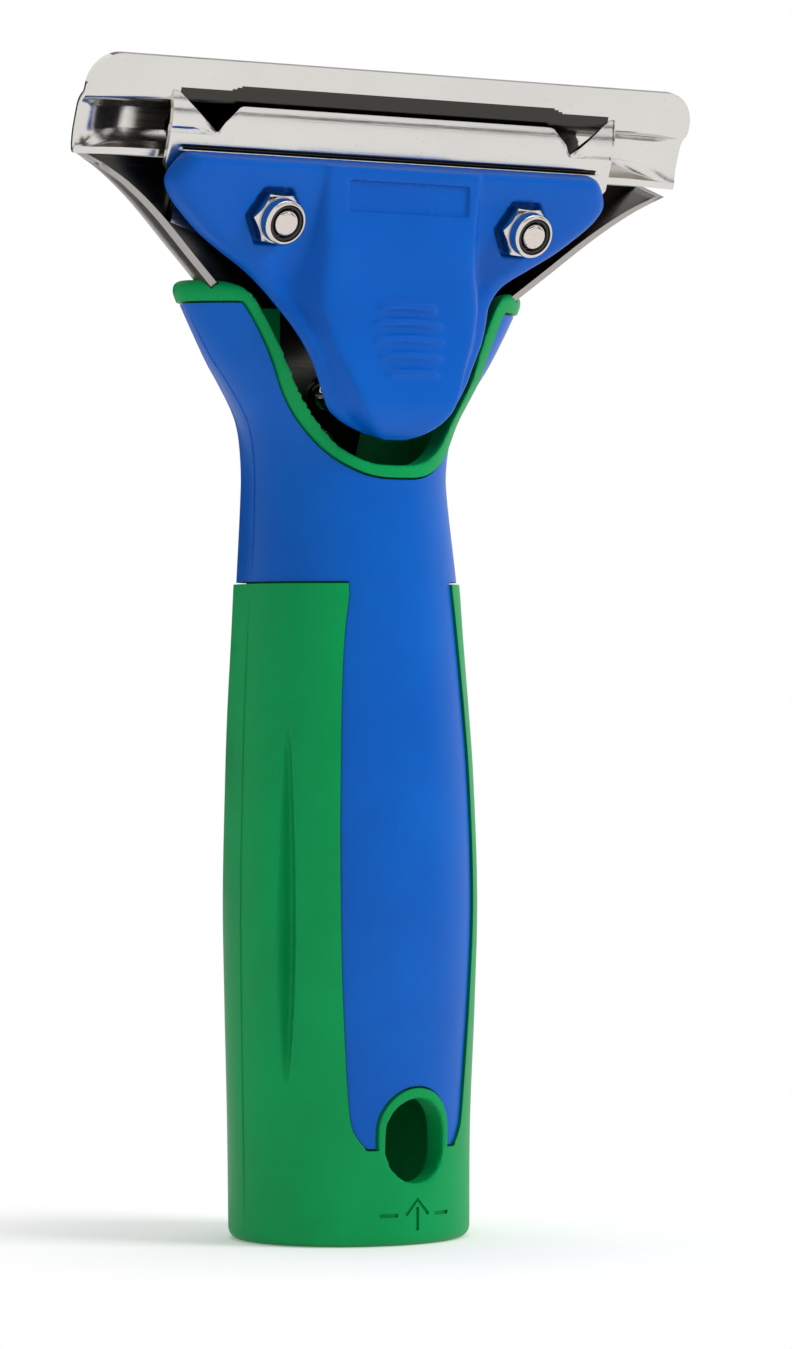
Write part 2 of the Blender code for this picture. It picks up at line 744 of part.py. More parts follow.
def pan_space(shop):
    """The space that the pan and its tang take up, grown all round by the fit."""
    rear = PLATE_FACE + PLATE_SHEET
    space = shop.cutter("pan_space", plate(
        "pan_space", plate_outline(-FIT_GAP, PLATE_TOP, TANG_END - FIT_GAP),
        rear - PLATE_WALL_DEPTH - FIT_GAP, rear + FIT_GAP,
    ), "head")
    hollow_pan(shop, space, FIT_GAP)
    return space


def make_back_plate(shop):
    """The steel pan behind the lever, with turned-up side walls and a tang in the handle."""
    rear = PLATE_FACE + PLATE_SHEET
    pan = shop.piece("back_plate", plate(
        "back_plate", plate_outline(0.0, PLATE_TOP, TANG_END), rear - PLATE_WALL_DEPTH, rear
    ), "steel", "head")
    hollow_pan(shop, pan, 0.0)
    bolt_holes(shop, pan, BOLT_RADIUS + BOLT_HOLE_GAP, "head")
    for place in SCREW_PLACES:
        hole = shop.cutter("tang_hole", turned("tang_hole", (
            (SCREW_RADIUS + BOLT_HOLE_GAP, PLATE_FACE - OVERRUN), (SCREW_RADIUS + BOLT_HOLE_GAP, rear + OVERRUN),
        ), 12), "head")
        hole.location.z = place
        boolean(pan, hole, "DIFFERENCE")
    return pan


def bolt_holes(shop, item, radius, frame):
    """Two round holes through a piece on the bolts' axes."""
    for side in (-1, 1):
        hole = shop.cutter("bolt_hole", turned("bolt_hole", (
            (radius, BOLT_END - OVERRUN), (radius, PLATE_FACE + PLATE_SHEET + OVERRUN),
        ), 16), frame)
        hole.location = hole.location + Vector((side * BOLT_SPACING / 2, 0, BOLT_HEIGHT))
        boolean(item, hole, "DIFFERENCE")


def sheet_piece(shop, name, stations, thickness, outline, frame):
    """A bent sheet: a swept profile, its thickness laid behind it, trimmed to an outline."""
    item = shop.piece(name, swept_sheet(name, stations), "steel", frame)
    solid = item.modifiers.new("thickness", "SOLIDIFY")
    solid.thickness = thickness
    solid.offset = -1.0
    solid.use_even_offset = True
    trim = shop.cutter(name + "_trim", plate(
        name + "_trim", outline, FRONT_JAW_FACE - OVERRUN, TROUGH_FACE + OVERRUN
    ), frame)
    boolean(item, trim, "INTERSECT")
    return item


def rear_jaw_profile(flare):
    """The rear jaw's front face from its turned flange up to its lip, opened by a flare below."""
    bend = (REAR_LIP_FACE + TROUGH_FACE) / 2
    low = TROUGH_HEIGHT - TROUGH_FLAT
    high = TROUGH_HEIGHT + TROUGH_FLAT
    bottom = REAR_JAW_BOTTOM
    return [
        (FLANGE_EDGE + flare, bottom),
        (bend + flare / 2, mix(low, bottom, 0.88)),
        (mix(TROUGH_FACE, bend, 0.55) + flare / 2, mix(low, bottom, 0.66)),
        (mix(TROUGH_FACE, bend, 0.15), mix(low, bottom, 0.32)),
        (TROUGH_FACE, low),
        (TROUGH_FACE, high),
        (mix(bend, TROUGH_FACE, 0.80), mix(REAR_LIP_BOTTOM, high, 0.62)),
        (bend, mix(REAR_LIP_BOTTOM, high, 0.32)),
        (mix(REAR_LIP_FACE, bend, 0.30), mix(REAR_LIP_BOTTOM, high, 0.10)),
        (REAR_LIP_FACE, REAR_LIP_BOTTOM),
        (REAR_LIP_FACE, REAR_JAW_TOP + OVERRUN),
    ]


def make_rear_jaw(shop):
    """The fixed jaw: a flat lip, a trough for the channel, a turned flange and a bolted web."""
    side = REAR_JAW_HALF_WIDTH
    corner = REAR_JAW_CORNER
    half = [(side, REAR_JAW_BOTTOM - OVERRUN)]
    steps = 6
    for index in range(steps + 1):
        turn = math.pi / 2 * index / steps
        half.append((
            side - corner + corner * math.cos(turn), REAR_JAW_TOP - corner + corner * math.sin(turn)
        ))
    straight, flared = rear_jaw_profile(0.0), rear_jaw_profile(END_FLARE)
    inner = side - END_FLARE_LENGTH
    stations = [
        (-side - OVERRUN, flared), (-side, flared), (-inner, straight),
        (inner, straight), (side, flared), (side + OVERRUN, flared),
    ]
    jaw = sheet_piece(shop, "rear_jaw", stations, JAW_SHEET, mirrored(half), "head")
    web_top = REAR_JAW_BOTTOM + JAW_SHEET / 2
    web = shop.cutter("web", plate("web", mirrored([
        (WEB_HALF_WIDTH * 0.8, WEB_BOTTOM), (WEB_HALF_WIDTH, WEB_BOTTOM * 0.2), (WEB_HALF_WIDTH, web_top),
    ]), WEB_FACE, WEB_FACE + JAW_SHEET), "head")
    boolean(jaw, web, "UNION")
    bolt_holes(shop, jaw, BOLT_RADIUS + BOLT_HOLE_GAP, "head")
    return jaw


def make_front_jaw(shop):
    """The moving jaw: a sheet behind the lever, its lip and two claws curling to the rear jaw."""
    claw_back = REAR_LIP_FACE - FIT_GAP - CLAMP_SHEET
    profile = [
        (FRONT_JAW_FACE, FRONT_JAW_BOTTOM - OVERRUN),
        (FRONT_JAW_FACE, FRONT_JAW_BEND),
        (mix(FRONT_JAW_FACE, claw_back, 0.10), mix(FRONT_JAW_BEND, CLAW_TOP, 0.30)),
        (mix(FRONT_JAW_FACE, claw_back, 0.35), mix(FRONT_JAW_BEND, CLAW_TOP, 0.55)),
        (mix(FRONT_JAW_FACE, claw_back, 0.72), mix(FRONT_JAW_BEND, CLAW_TOP, 0.80)),
        (claw_back, CLAW_TOP + OVERRUN / 8),
    ]
    half = [
        (WEB_HALF_WIDTH * 0.45, FRONT_JAW_BOTTOM),
        (LIP_HALF_WIDTH * 1.03, mix(FRONT_JAW_BOTTOM, BOLT_HEIGHT, 0.42)),
        (FRONT_JAW_HALF_WIDTH * 0.95, mix(BOLT_HEIGHT, LEVER_TOP, 0.40)),
        (FRONT_JAW_HALF_WIDTH, mix(BOLT_HEIGHT, LEVER_TOP, 0.70)),
        (FRONT_JAW_HALF_WIDTH, CLAW_TOP),
        (FRONT_JAW_HALF_WIDTH - JAW_SHEET, CLAW_TOP - JAW_SHEET / 8),
        (NOTCH_HALF_WIDTH, NOTCH_FLOOR),
        (mix(NOTCH_HALF_WIDTH, LIP_HALF_WIDTH, 0.3), mix(NOTCH_FLOOR, LIP_TOP, 0.4)),
        (LIP_HALF_WIDTH, LIP_TOP),
    ]
    side = FRONT_JAW_HALF_WIDTH + OVERRUN
    stations = [(-side, profile), (side, profile)]
    jaw = sheet_piece(shop, "front_jaw", stations, CLAMP_SHEET, mirrored(half), "lever")
    bolt_holes(shop, jaw, BOLT_RADIUS + LEVER_HOLE_GAP, "lever")
    return jaw


def lever_ring(row):
    """One level section of the lever: raised middle, its blend, the wings and the flat back."""
    down, across, rear_share, raised, blend, front_share, wing_share, back_share, edge = row
    z = mix(LEVER_TOP, LEVER_NOSE, down)
    middle = mix(LEVER_PLATE_FRONT, -LEVER_BODY_PROUD, front_share)
    wing = mix(LEVER_PLATE_FRONT, -LEVER_BODY_PROUD, wing_share)
    back = mix(LEVER_BACK, -LEVER_BODY_PROUD, back_share)
    half_width = LEVER_HALF_WIDTH * across
    rear = half_width * rear_share
    inner = LEVER_BODY_HALF_WIDTH * raised
    outer = LEVER_BODY_HALF_WIDTH * blend
    deep = LEVER_EDGE_ROUND * edge
    wide = deep * 1.45
    small = deep * 0.2
    flat = max(half_width - wide, outer + FINE_GAP)
    half = [
        (inner * 0.5, middle), (inner * 0.85, middle),
        (mix(inner, outer, 0.15), mix(middle, wing, 0.15)),
        (mix(inner, outer, 0.5), mix(middle, wing, 0.5)),
        (mix(inner, outer, 0.85), mix(middle, wing, 0.85)),
        (mix(outer, flat, 0.2), wing), (mix(outer, flat, 0.6), wing), (flat, wing),
        (mix(half_width, flat, 0.29), wing + deep * 0.29), (half_width, wing + deep),
        (rear, back - small), (rear - small, back), (rear * 0.6, back), (rear * 0.3, back),
    ]
    ring = [(0.0, middle)] + half + [(0.0, back)] + [(-x, y) for x, y in reversed(half)]
    return [Vector((x + LEVER_OFFSET, y, z)) for x, y in ring]


def lever_front(z):
    """Y of the raised middle's front face at a height on the lever."""
    down = (LEVER_TOP - z) / (LEVER_TOP - LEVER_NOSE)
    share = smooth([(row[0], row[5]) for row in LEVER_SHARES], down)[0]
    return mix(LEVER_PLATE_FRONT, -LEVER_BODY_PROUD, share)


def badge_cutter(shop):
    """A bare shallow recess in the raised middle, as deep all over as the face slopes."""
    low, high = BADGE_MIDDLE - BADGE_HEIGHT / 2, BADGE_MIDDLE + BADGE_HEIGHT / 2
    rings = []
    for z in (low, high):
        y = lever_front(z) + BADGE_DEPTH
        rings.append([
            Vector((side * BADGE_HALF_WIDTH, along, z))
            for side, along in ((-1, y), (1, y), (1, y - OVERRUN), (-1, y - OVERRUN))
        ])
    return shop.cutter("badge", loft("badge", rings), "lever")


def make_lever(shop):
    """The blue thumb lever: wings with hex pockets, raised middle and dished thumb rest."""
    rings = [lever_ring(row) for row in LEVER_SHARES]
    lever = shop.piece("thumb_lever", loft("thumb_lever", rings), "blue", "lever")
    floor = NUT_FACE + FIT_GAP
    for side in (-1, 1):
        centre = (side * BOLT_SPACING / 2, BOLT_HEIGHT)
        pocket = shop.cutter("hex_pocket", plate(
            "hex_pocket", hexagon(NUT_ACROSS_FLATS + 2 * POCKET_GAP, centre), BOLT_END - OVERRUN, floor
        ), "lever")
        boolean(lever, pocket, "DIFFERENCE")
    boolean(lever, badge_cutter(shop), "DIFFERENCE")
    bolt_holes(shop, lever, BOLT_RADIUS + LEVER_HOLE_GAP, "lever")
    spring_bore = shop.cutter("spring_bore", turned("spring_bore", (
        (SPRING_RADIUS + SPRING_WIRE_RADIUS + SPRING_POCKET_GAP, SPRING_POCKET_FLOOR),
        (SPRING_RADIUS + SPRING_WIRE_RADIUS + SPRING_POCKET_GAP, 0.0),
    )), "lever")
    spring_bore.location.z = spring_bore.location.z + SPRING_HEIGHT
    boolean(lever, spring_bore, "DIFFERENCE")
    smooth_round(lever, math.radians(32))
    return lever


def make_bolt(shop, side_name, side):
    """A bolt with a low round head behind the back plate and a chamfered end."""
    head_face = PLATE_FACE + PLATE_SHEET + FIT_GAP
    profile = (
        (BOLT_RADIUS - BOLT_CHAMFER, BOLT_END),
        (BOLT_RADIUS, BOLT_END + BOLT_CHAMFER),
        (BOLT_RADIUS, head_face),
        (BOLT_HEAD_RADIUS, head_face),
        (BOLT_HEAD_RADIUS, head_face + BOLT_HEAD_HEIGHT * 0.45),
        (BOLT_HEAD_RADIUS * 0.82, head_face + BOLT_HEAD_HEIGHT * 0.82),
        (BOLT_HEAD_RADIUS * 0.45, head_face + BOLT_HEAD_HEIGHT),
    )
    bolt = shop.piece("bolt_" + side_name, turned("bolt_" + side_name, profile), "steel", "head")
    bolt.location = (side * BOLT_SPACING / 2, 0, BOLT_HEIGHT)
    smooth_round(bolt)
    return bolt


def make_nut(shop, side_name, side):
    """A locknut: hexagon, round collar and a recess that holds the ring."""
    name = "nut_" + side_name
    outline = hexagon(NUT_ACROSS_FLATS, (0, 0))
    nut = shop.piece(name, plate(name, outline, NUT_FACE - NUT_HEX_HEIGHT, NUT_FACE), "steel", "head")
    corner = NUT_ACROSS_FLATS / math.sqrt(3)
    dome = shop.cutter("nut_dome", turned("nut_dome", (
        (NUT_ACROSS_FLATS / 2, NUT_FACE - NUT_HEX_HEIGHT - FINE_GAP),
        (corner, NUT_FACE - NUT_HEX_HEIGHT + NUT_ROUND * 1.5),
        (corner + NUT_ROUND, NUT_FACE - NUT_ROUND),
        (corner - NUT_ROUND, NUT_FACE + FINE_GAP),
    )), "head")
    boolean(nut, dome, "INTERSECT")
    end = NUT_FACE - NUT_HEIGHT
    collar = shop.cutter("nut_collar", turned("nut_collar", (
        (NUT_COLLAR_RADIUS - NUT_ROUND, end),
        (NUT_COLLAR_RADIUS, end + NUT_ROUND),
        (NUT_COLLAR_RADIUS, NUT_FACE - NUT_HEX_HEIGHT / 2),
    ), COLLAR_SIDES), "head")
    boolean(nut, collar, "UNION")
    recess = RING_OUTER_RADIUS + FINE_GAP
    bore = shop.cutter("nut_bore", turned("nut_bore", (
        (recess, end - OVERRUN),
        (recess, end + RING_HEIGHT + 2 * FINE_GAP),
        (BOLT_RADIUS + BOLT_HOLE_GAP, end + RING_HEIGHT + 2 * FINE_GAP),
        (BOLT_RADIUS + BOLT_HOLE_GAP, NUT_FACE + OVERRUN),
    )), "head")
    boolean(nut, bore, "DIFFERENCE")
    place = (side * BOLT_SPACING / 2, 0, BOLT_HEIGHT)
    for item in (nut, dome, collar, bore):
        item.location = place
    smooth_round(nut)
    return nut


def make_nut_ring(shop, side_name, side):
    """The dark locking ring in the collar of a nut."""
    name = "nut_ring_" + side_name
    end = NUT_FACE - NUT_HEIGHT + FINE_GAP
    ring = shop.piece(name, turned(name, (
        (RING_OUTER_RADIUS, end), (RING_OUTER_RADIUS, end + RING_HEIGHT),
    )), "nylon", "head")
    bore = shop.cutter("ring_bore", turned("ring_bore", (
        (RING_INNER_RADIUS, end - OVERRUN), (RING_INNER_RADIUS, end + OVERRUN),
    )), "head")
    boolean(ring, bore, "DIFFERENCE")
    ring.location = bore.location = (side * BOLT_SPACING / 2, 0, BOLT_HEIGHT)
    smooth_round(ring)
    return ring


def make_spring(shop):
    """The return spring: one coil of wire from the back plate to the lever's pocket."""
    start = PLATE_FACE - FIT_GAP - SPRING_WIRE_RADIUS
    end = SPRING_POCKET_FLOOR + FIT_GAP + SPRING_WIRE_RADIUS
    count = SPRING_TURNS * SPRING_POINTS_PER_TURN
    path = []
    for index in range(count + 1):
        turn = 2 * math.pi * index / SPRING_POINTS_PER_TURN
        path.append(Vector((
            SPRING_RADIUS * math.cos(turn), mix(start, end, index / count),
            SPRING_HEIGHT + SPRING_RADIUS * math.sin(turn),
        )))
    least = min(
        (path[i] - path[j]).length for i in range(len(path))
        for j in range(i + SPRING_POINTS_PER_TURN // 2, len(path))
    ) - 2 * SPRING_WIRE_RADIUS
    print("return_spring least gap to itself, mm:", round(1000 * least, 2))
    curve = bpy.data.curves.new("return_spring", "CURVE")
    curve.dimensions = "3D"
    curve.bevel_depth = SPRING_WIRE_RADIUS
    curve.bevel_resolution = 1
    curve.use_fill_caps = True
    spline = curve.splines.new("POLY")
    spline.points.add(len(path) - 1)
    for point, place in zip(spline.points, path):
        point.co = (*place, 1.0)
    holder = bpy.data.objects.new("return_spring_path", curve)
    bpy.context.scene.collection.objects.link(holder)
    mesh = bpy.data.meshes.new_from_object(holder.evaluated_get(bpy.context.evaluated_depsgraph_get()))
    bpy.data.objects.remove(holder)
    bm = bmesh.new()
    bm.from_mesh(mesh)
    bpy.data.meshes.remove(mesh)
    spring = shop.piece("return_spring", finish_mesh(bm, "return_spring"), "steel", "head")
    spring.data.shade_smooth()
    return spring


def make_screw(shop, side_name, place):
    """A pan-head screw with a straight slot that holds the tang on the core's seat."""
    name = "tang_screw_" + side_name
    under = PLATE_FACE - FINE_GAP
    screw = shop.piece(name, turned(name, (
        (SCREW_HEAD_RADIUS * 0.7, under - SCREW_HEAD_HEIGHT),
        (SCREW_HEAD_RADIUS, under - SCREW_HEAD_HEIGHT * 0.6),
        (SCREW_HEAD_RADIUS, under),
        (SCREW_RADIUS, under),
        (SCREW_RADIUS, SCREW_LENGTH - SCREW_RADIUS),
        (SCREW_RADIUS * 0.3, SCREW_LENGTH),
    ), 16), "steel", "head")
    slot = shop.cutter("screw_slot", block(
        "screw_slot", (-SCREW_HEAD_RADIUS - OVERRUN, under - SCREW_HEAD_HEIGHT - OVERRUN, -SCREW_SLOT / 2),
        (SCREW_HEAD_RADIUS + OVERRUN, under - SCREW_HEAD_HEIGHT * 0.6, SCREW_SLOT / 2),
    ), "head")
    boolean(screw, slot, "DIFFERENCE")
    screw.location.z = slot.location.z = place
    smooth_round(screw)
    return screw


def build():
    shop = Shop()
    make_core(shop)
    make_cover(shop)
    make_back_plate(shop)
    make_rear_jaw(shop)
    make_front_jaw(shop)
    make_lever(shop)
    for side_name, side in (("left", -1), ("right", 1)):
        make_bolt(shop, side_name, side)
        make_nut(shop, side_name, side)
        make_nut_ring(shop, side_name, side)
    make_spring(shop)
    for side_name, place in zip(("upper", "lower"), SCREW_PLACES):
        make_screw(shop, side_name, place)
    bpy.context.view_layer.update()


build()
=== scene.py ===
# %% [markdown]
# # A window squeegee handle with a sprung clamping jaw
# This lesson dresses a finished engineering model. The model brings every part at its real
# size, and the scene adds what the eye looks for: soft moulded edges, polished sheet steel,
# small scuffs, and plain studio light. All lengths are in metres, +Z is up, and the front of
# the tool looks along -Y.

# %% Load the model and lay its meshes in world space
import math

import bmesh
import bpy
from mathutils import Matrix, Vector


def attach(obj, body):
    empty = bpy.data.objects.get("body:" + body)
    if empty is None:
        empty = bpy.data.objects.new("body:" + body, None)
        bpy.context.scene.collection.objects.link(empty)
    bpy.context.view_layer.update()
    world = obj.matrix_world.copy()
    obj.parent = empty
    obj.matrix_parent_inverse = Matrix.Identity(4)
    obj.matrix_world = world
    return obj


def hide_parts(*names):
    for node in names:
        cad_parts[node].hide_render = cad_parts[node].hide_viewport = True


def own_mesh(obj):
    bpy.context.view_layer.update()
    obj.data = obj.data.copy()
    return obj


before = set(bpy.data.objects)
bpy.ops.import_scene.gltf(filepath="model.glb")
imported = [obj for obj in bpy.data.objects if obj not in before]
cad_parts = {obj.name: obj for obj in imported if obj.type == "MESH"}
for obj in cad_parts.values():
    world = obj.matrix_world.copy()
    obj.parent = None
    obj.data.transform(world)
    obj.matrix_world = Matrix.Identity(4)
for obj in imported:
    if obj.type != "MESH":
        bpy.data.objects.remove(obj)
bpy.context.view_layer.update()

# %% [markdown]
# ## The camera
# The photograph looks at the tool level, from its left front, through a long lens. A long
# lens keeps the two ends of the jaw almost the same size. The camera stands at the middle
# of the tool's height, so the floor is seen almost edge on.

# %% Camera
CAMERA_TURN = math.radians(34)
CAMERA_DISTANCE = 0.810
CAMERA_SIDE = 0.00707
CAMERA_HEIGHT = 0.0827
CAMERA_BACK = 0.0006
LENS_SHARE = 5500 / 1349

camera_data = bpy.data.cameras.new("camera")
camera_data.sensor_fit = "VERTICAL"
camera_data.sensor_height = 24.0
camera_data.lens = camera_data.sensor_height * LENS_SHARE
camera_data.clip_start = 0.01
camera_data.clip_end = 20.0
camera = bpy.data.objects.new("camera", camera_data)
camera.location = (
    CAMERA_SIDE * math.cos(CAMERA_TURN) - CAMERA_DISTANCE * math.sin(CAMERA_TURN),
    CAMERA_BACK - CAMERA_SIDE * math.sin(CAMERA_TURN) - CAMERA_DISTANCE * math.cos(CAMERA_TURN),
    CAMERA_HEIGHT,
)
camera.rotation_euler = (math.pi / 2, 0, -CAMERA_TURN)
bpy.context.scene.collection.objects.link(camera)
bpy.context.scene.camera = camera
bpy.context.scene.view_settings.view_transform = "Standard"
print("lens", round(camera_data.lens, 1), "mm at", round(CAMERA_DISTANCE, 3), "m")

# %% [markdown]
# ## Helpers for materials
# A material is a small tree of nodes. One helper makes an empty tree. The other adds a node
# in one call, with its options, its values and what feeds its sockets, so each tree reads
# from its first node to its last.

# %% Helpers for nodes
WHITE = (1.0, 1.0, 1.0, 1.0)


def add_to(tree):
    """A function that adds nodes to one tree."""
    def add(kind, sockets=None, **values):
        """Add a node; each socket takes a value or the (node, socket) pair that feeds it."""
        node = tree.nodes.new(kind)
        for key, value in values.items():
            if hasattr(node, key):
                setattr(node, key, value)
            else:
                node.inputs[key.replace("_", " ")].default_value = value
        for socket, given in (sockets or {}).items():
            if isinstance(given, tuple) and isinstance(given[0], bpy.types.Node):
                tree.links.new(given[0].outputs[given[1]], node.inputs[socket])
            else:
                node.inputs[socket].default_value = given
        return node
    return add


def new_material(name):
    """An empty node material and a function that adds nodes to it."""
    made = bpy.data.materials.new(name)
    made.use_nodes = True
    made.node_tree.nodes.clear()
    return made, add_to(made.node_tree)


def seen_by(add, *rays):
    """A mask that is 1 for some kinds of rays and 0 for all others."""
    path = add("ShaderNodeLightPath")
    mask = (path, rays[0])
    for ray in rays[1:]:
        mask = (add("ShaderNodeMath", {0: mask, 1: (path, ray)}, operation="MAXIMUM"), 0)
    return mask


print("node helpers ready")

# %% [markdown]
# ## Light and room
# Polished steel has hardly any colour of its own, so it looks like its surroundings. The
# room is white, with a few dark cards above, behind and beside the tool. The cards can't be
# seen by the camera, but the bent steel shows them as its dark bands.

# %% World
world = bpy.data.worlds.new("studio")
bpy.context.scene.world = world
world.use_nodes = True
world.node_tree.nodes.clear()
add = add_to(world.node_tree)
fill = add("ShaderNodeBackground", Color=WHITE, Strength=0.36)
seen = add("ShaderNodeBackground", Color=WHITE, Strength=1.0)
direct = seen_by(add, "Is Camera Ray", "Is Glossy Ray", "Is Transmission Ray")
choose = add("ShaderNodeMixShader", {0: direct, 1: (fill, 0), 2: (seen, 0)})
add("ShaderNodeOutputWorld", {"Surface": (choose, 0)})
print("world fill", fill.inputs["Strength"].default_value)


# %% Cards
def card(name, size, place, aim, skin):
    """A flat sheet of one size, turned so that its face looks at a point."""
    bm = bmesh.new()
    bmesh.ops.create_grid(bm, x_segments=1, y_segments=1, size=0.5)
    bmesh.ops.scale(bm, verts=bm.verts, vec=(size[0], size[1], 1.0))
    mesh = bpy.data.meshes.new(name)
    bm.to_mesh(mesh)
    bm.free()
    mesh.materials.append(skin)
    item = bpy.data.objects.new(name, mesh)
    bpy.context.scene.collection.objects.link(item)
    item.location = place
    item.rotation_euler = (Vector(aim) - Vector(place)).to_track_quat("Z", "Y").to_euler()
    return item


MIDDLE = (0.0, 0.0, 0.12)
black_card, add = new_material("black_card")
paint = add("ShaderNodeBsdfDiffuse", Color=(0.012, 0.012, 0.013, 1.0))
add("ShaderNodeOutputMaterial", {"Surface": (paint, 0)})
CARDS = (
    ("card_above", (0.90, 0.30), (-0.10, -0.70, 0.80)),
    ("card_right", (0.22, 0.90), (0.80, -0.75, 0.40)),
    ("card_ceiling", (0.9, 0.35), (0.0, 0.05, 1.20)),
    ("card_behind", (1.05, 0.9), (-0.03, 1.0, 0.20)),
    ("card_low", (1.3, 0.09), (0.55, -0.85, 0.15)),
)
for name, size, place in CARDS:
    item = card(name, size, place, MIDDLE, black_card)
    item.visible_camera = False
    item.visible_diffuse = False
    item.visible_shadow = False
print(len(CARDS), "dark cards")

# %% [markdown]
# ## The floor
# The floor is white and keeps the soft shadow at the tool's foot. Far from the tool it turns
# plain white for the eye and for the steel, so no horizon line shows. The blend goes by the
# distance from the tool, and Light Path tells the material which rays look straight at it.

# %% Floor
floor_paint, add = new_material("white_floor")
paint = add("ShaderNodeBsdfDiffuse", Color=(0.93, 0.93, 0.93, 1.0))
glow = add("ShaderNodeEmission", Color=WHITE, Strength=0.20)
near = add("ShaderNodeAddShader", {0: (paint, 0), 1: (glow, 0)})
plain = add("ShaderNodeEmission", Color=WHITE, Strength=1.0)
place = add("ShaderNodeTexCoord")
length = add("ShaderNodeVectorMath", {0: (place, "Object")}, operation="LENGTH")
far = add(
    "ShaderNodeMapRange", {"Value": (length, "Value")}, interpolation_type="SMOOTHSTEP",
    From_Min=0.035, From_Max=0.085,
)
direct = seen_by(add, "Is Camera Ray", "Is Glossy Ray")
both = add("ShaderNodeMath", {0: (far, "Result"), 1: direct}, operation="MULTIPLY")
choose = add("ShaderNodeMixShader", {0: (both, 0), 1: (near, 0), 2: (plain, 0)})
add("ShaderNodeOutputMaterial", {"Surface": (choose, 0)})
card("floor", (6.0, 6.0), (0, 0, 0), (0, 0, 1), floor_paint)
print("floor ready")


# %% Lamps
def lamp(name, size, power, place, aim, shines=False):
    """A soft area lamp; one that shines is also seen in the steel."""
    data = bpy.data.lights.new(name, "AREA")
    data.shape = "RECTANGLE"
    data.size, data.size_y = size
    data.energy = power
    item = bpy.data.objects.new(name, data)
    bpy.context.scene.collection.objects.link(item)
    item.location = place
    item.rotation_euler = (Vector(aim) - Vector(place)).to_track_quat("-Z", "Y").to_euler()
    item.visible_glossy = shines


lamp("key", (0.45, 0.45), 7.4, (0.62, -0.75, 0.75), MIDDLE)
lamp("fill", (0.5, 0.5), 0.8, (-0.75, -0.70, 0.40), MIDDLE)
lamp("top", (0.6, 0.4), 2.4, (0.05, 0.10, 0.95), MIDDLE, shines=True)
print("three soft lamps")

# %% [markdown]
# ## Shared surface effects
# Real plastic and steel are never one flat tone. Four small node groups make the effects that
# several materials share: a slow drift of tone, a fine moulded grain, hair scratches, and
# small specks of wear. Each gives out only a mask or a height, and each material mixes them
# in its own amounts.

# %% Group helper
NUMBER = "NodeSocketFloat"
ARROW = "NodeSocketVector"


def new_group(name, inputs, output):
    """A shader node group with named inputs and one number as its output."""
    group = bpy.data.node_groups.new(name, "ShaderNodeTree")
    for label, kind, value in [("Place", ARROW, None)] + inputs:
        socket = group.interface.new_socket(name=label, in_out="INPUT", socket_type=kind)
        if value is not None:
            socket.default_value = value
    group.interface.new_socket(name=output, in_out="OUTPUT", socket_type=NUMBER)
    add = add_to(group)
    return group, add, add("NodeGroupInput")


print("group helper ready")

# %% Slow drift of tone
drift, add, given = new_group("tone_drift", [("Scale", NUMBER, 60.0)], "Mask")
noise = add(
    "ShaderNodeTexNoise", {"Vector": (given, "Place"), "Scale": (given, "Scale")},
    Detail=3.0, Roughness=0.55,
)
spread = add("ShaderNodeMapRange", {"Value": (noise, "Fac")}, From_Min=0.35, From_Max=0.65)
add("NodeGroupOutput", {"Mask": (spread, "Result")})

# %% Fine moulded grain
grain, add, given = new_group("moulded_grain", [("Scale", NUMBER, 2200.0)], "Height")
fine = add(
    "ShaderNodeTexNoise", {"Vector": (given, "Place"), "Scale": (given, "Scale")},
    Detail=2.0, Roughness=0.6,
)
slow = add(
    "ShaderNodeTexNoise", {"Vector": (given, "Place")}, Scale=260.0, Detail=2.0, Roughness=0.5
)
weigh = add("ShaderNodeMath", {0: (slow, "Fac"), 1: 0.6}, operation="MULTIPLY")
total = add("ShaderNodeMath", {0: (fine, "Fac"), 1: (weigh, 0)}, operation="ADD")
add("NodeGroupOutput", {"Height": (total, 0)})

# %% Hair scratches along one direction
scratches, add, given = new_group(
    "hair_scratches",
    [("Stretch", ARROW, (60.0, 4000.0, 4000.0)), ("Amount", NUMBER, 0.5)], "Mask",
)
pull = add(
    "ShaderNodeVectorMath", {0: (given, "Place"), 1: (given, "Stretch")}, operation="MULTIPLY"
)
lines = add("ShaderNodeTexNoise", {"Vector": (pull, 0)}, Scale=1.0, Detail=3.0, Roughness=0.65)
reach = add("ShaderNodeMath", {0: (given, "Amount"), 1: 0.35}, operation="MULTIPLY")
start = add("ShaderNodeMath", {0: 0.75, 1: (reach, 0)}, operation="SUBTRACT")
edge = add(
    "ShaderNodeMapRange", {"Value": (lines, "Fac"), "From Min": (start, 0)}, From_Max=0.78
)
add("NodeGroupOutput", {"Mask": (edge, "Result")})

# %% Small specks of wear
specks, add, given = new_group(
    "wear_specks", [("Scale", NUMBER, 700.0), ("Amount", NUMBER, 0.3)], "Mask"
)
cells = add(
    "ShaderNodeTexVoronoi", {"Vector": (given, "Place"), "Scale": (given, "Scale")},
    feature="F1", Randomness=1.0,
)
patch = add("ShaderNodeTexNoise", {"Vector": (given, "Place")}, Scale=90.0, Detail=2.0)
limit = add("ShaderNodeMath", {0: (patch, "Fac"), 1: (given, "Amount")}, operation="MULTIPLY")
small = add("ShaderNodeMath", {0: (cells, "Distance"), 1: (limit, 0)}, operation="LESS_THAN")
add("NodeGroupOutput", {"Mask": (small, 0)})
print("groups:", drift.name, grain.name, scratches.name, specks.name)

# %% [markdown]
# ## The plastics
# The handle is moulded in two plastics. The green one is a little soft and slightly rubbed on
# the grip. The blue one is hard and smoother. Both get the grain as a bump, the drift in their
# colour and roughness, and a few pale scuffs.

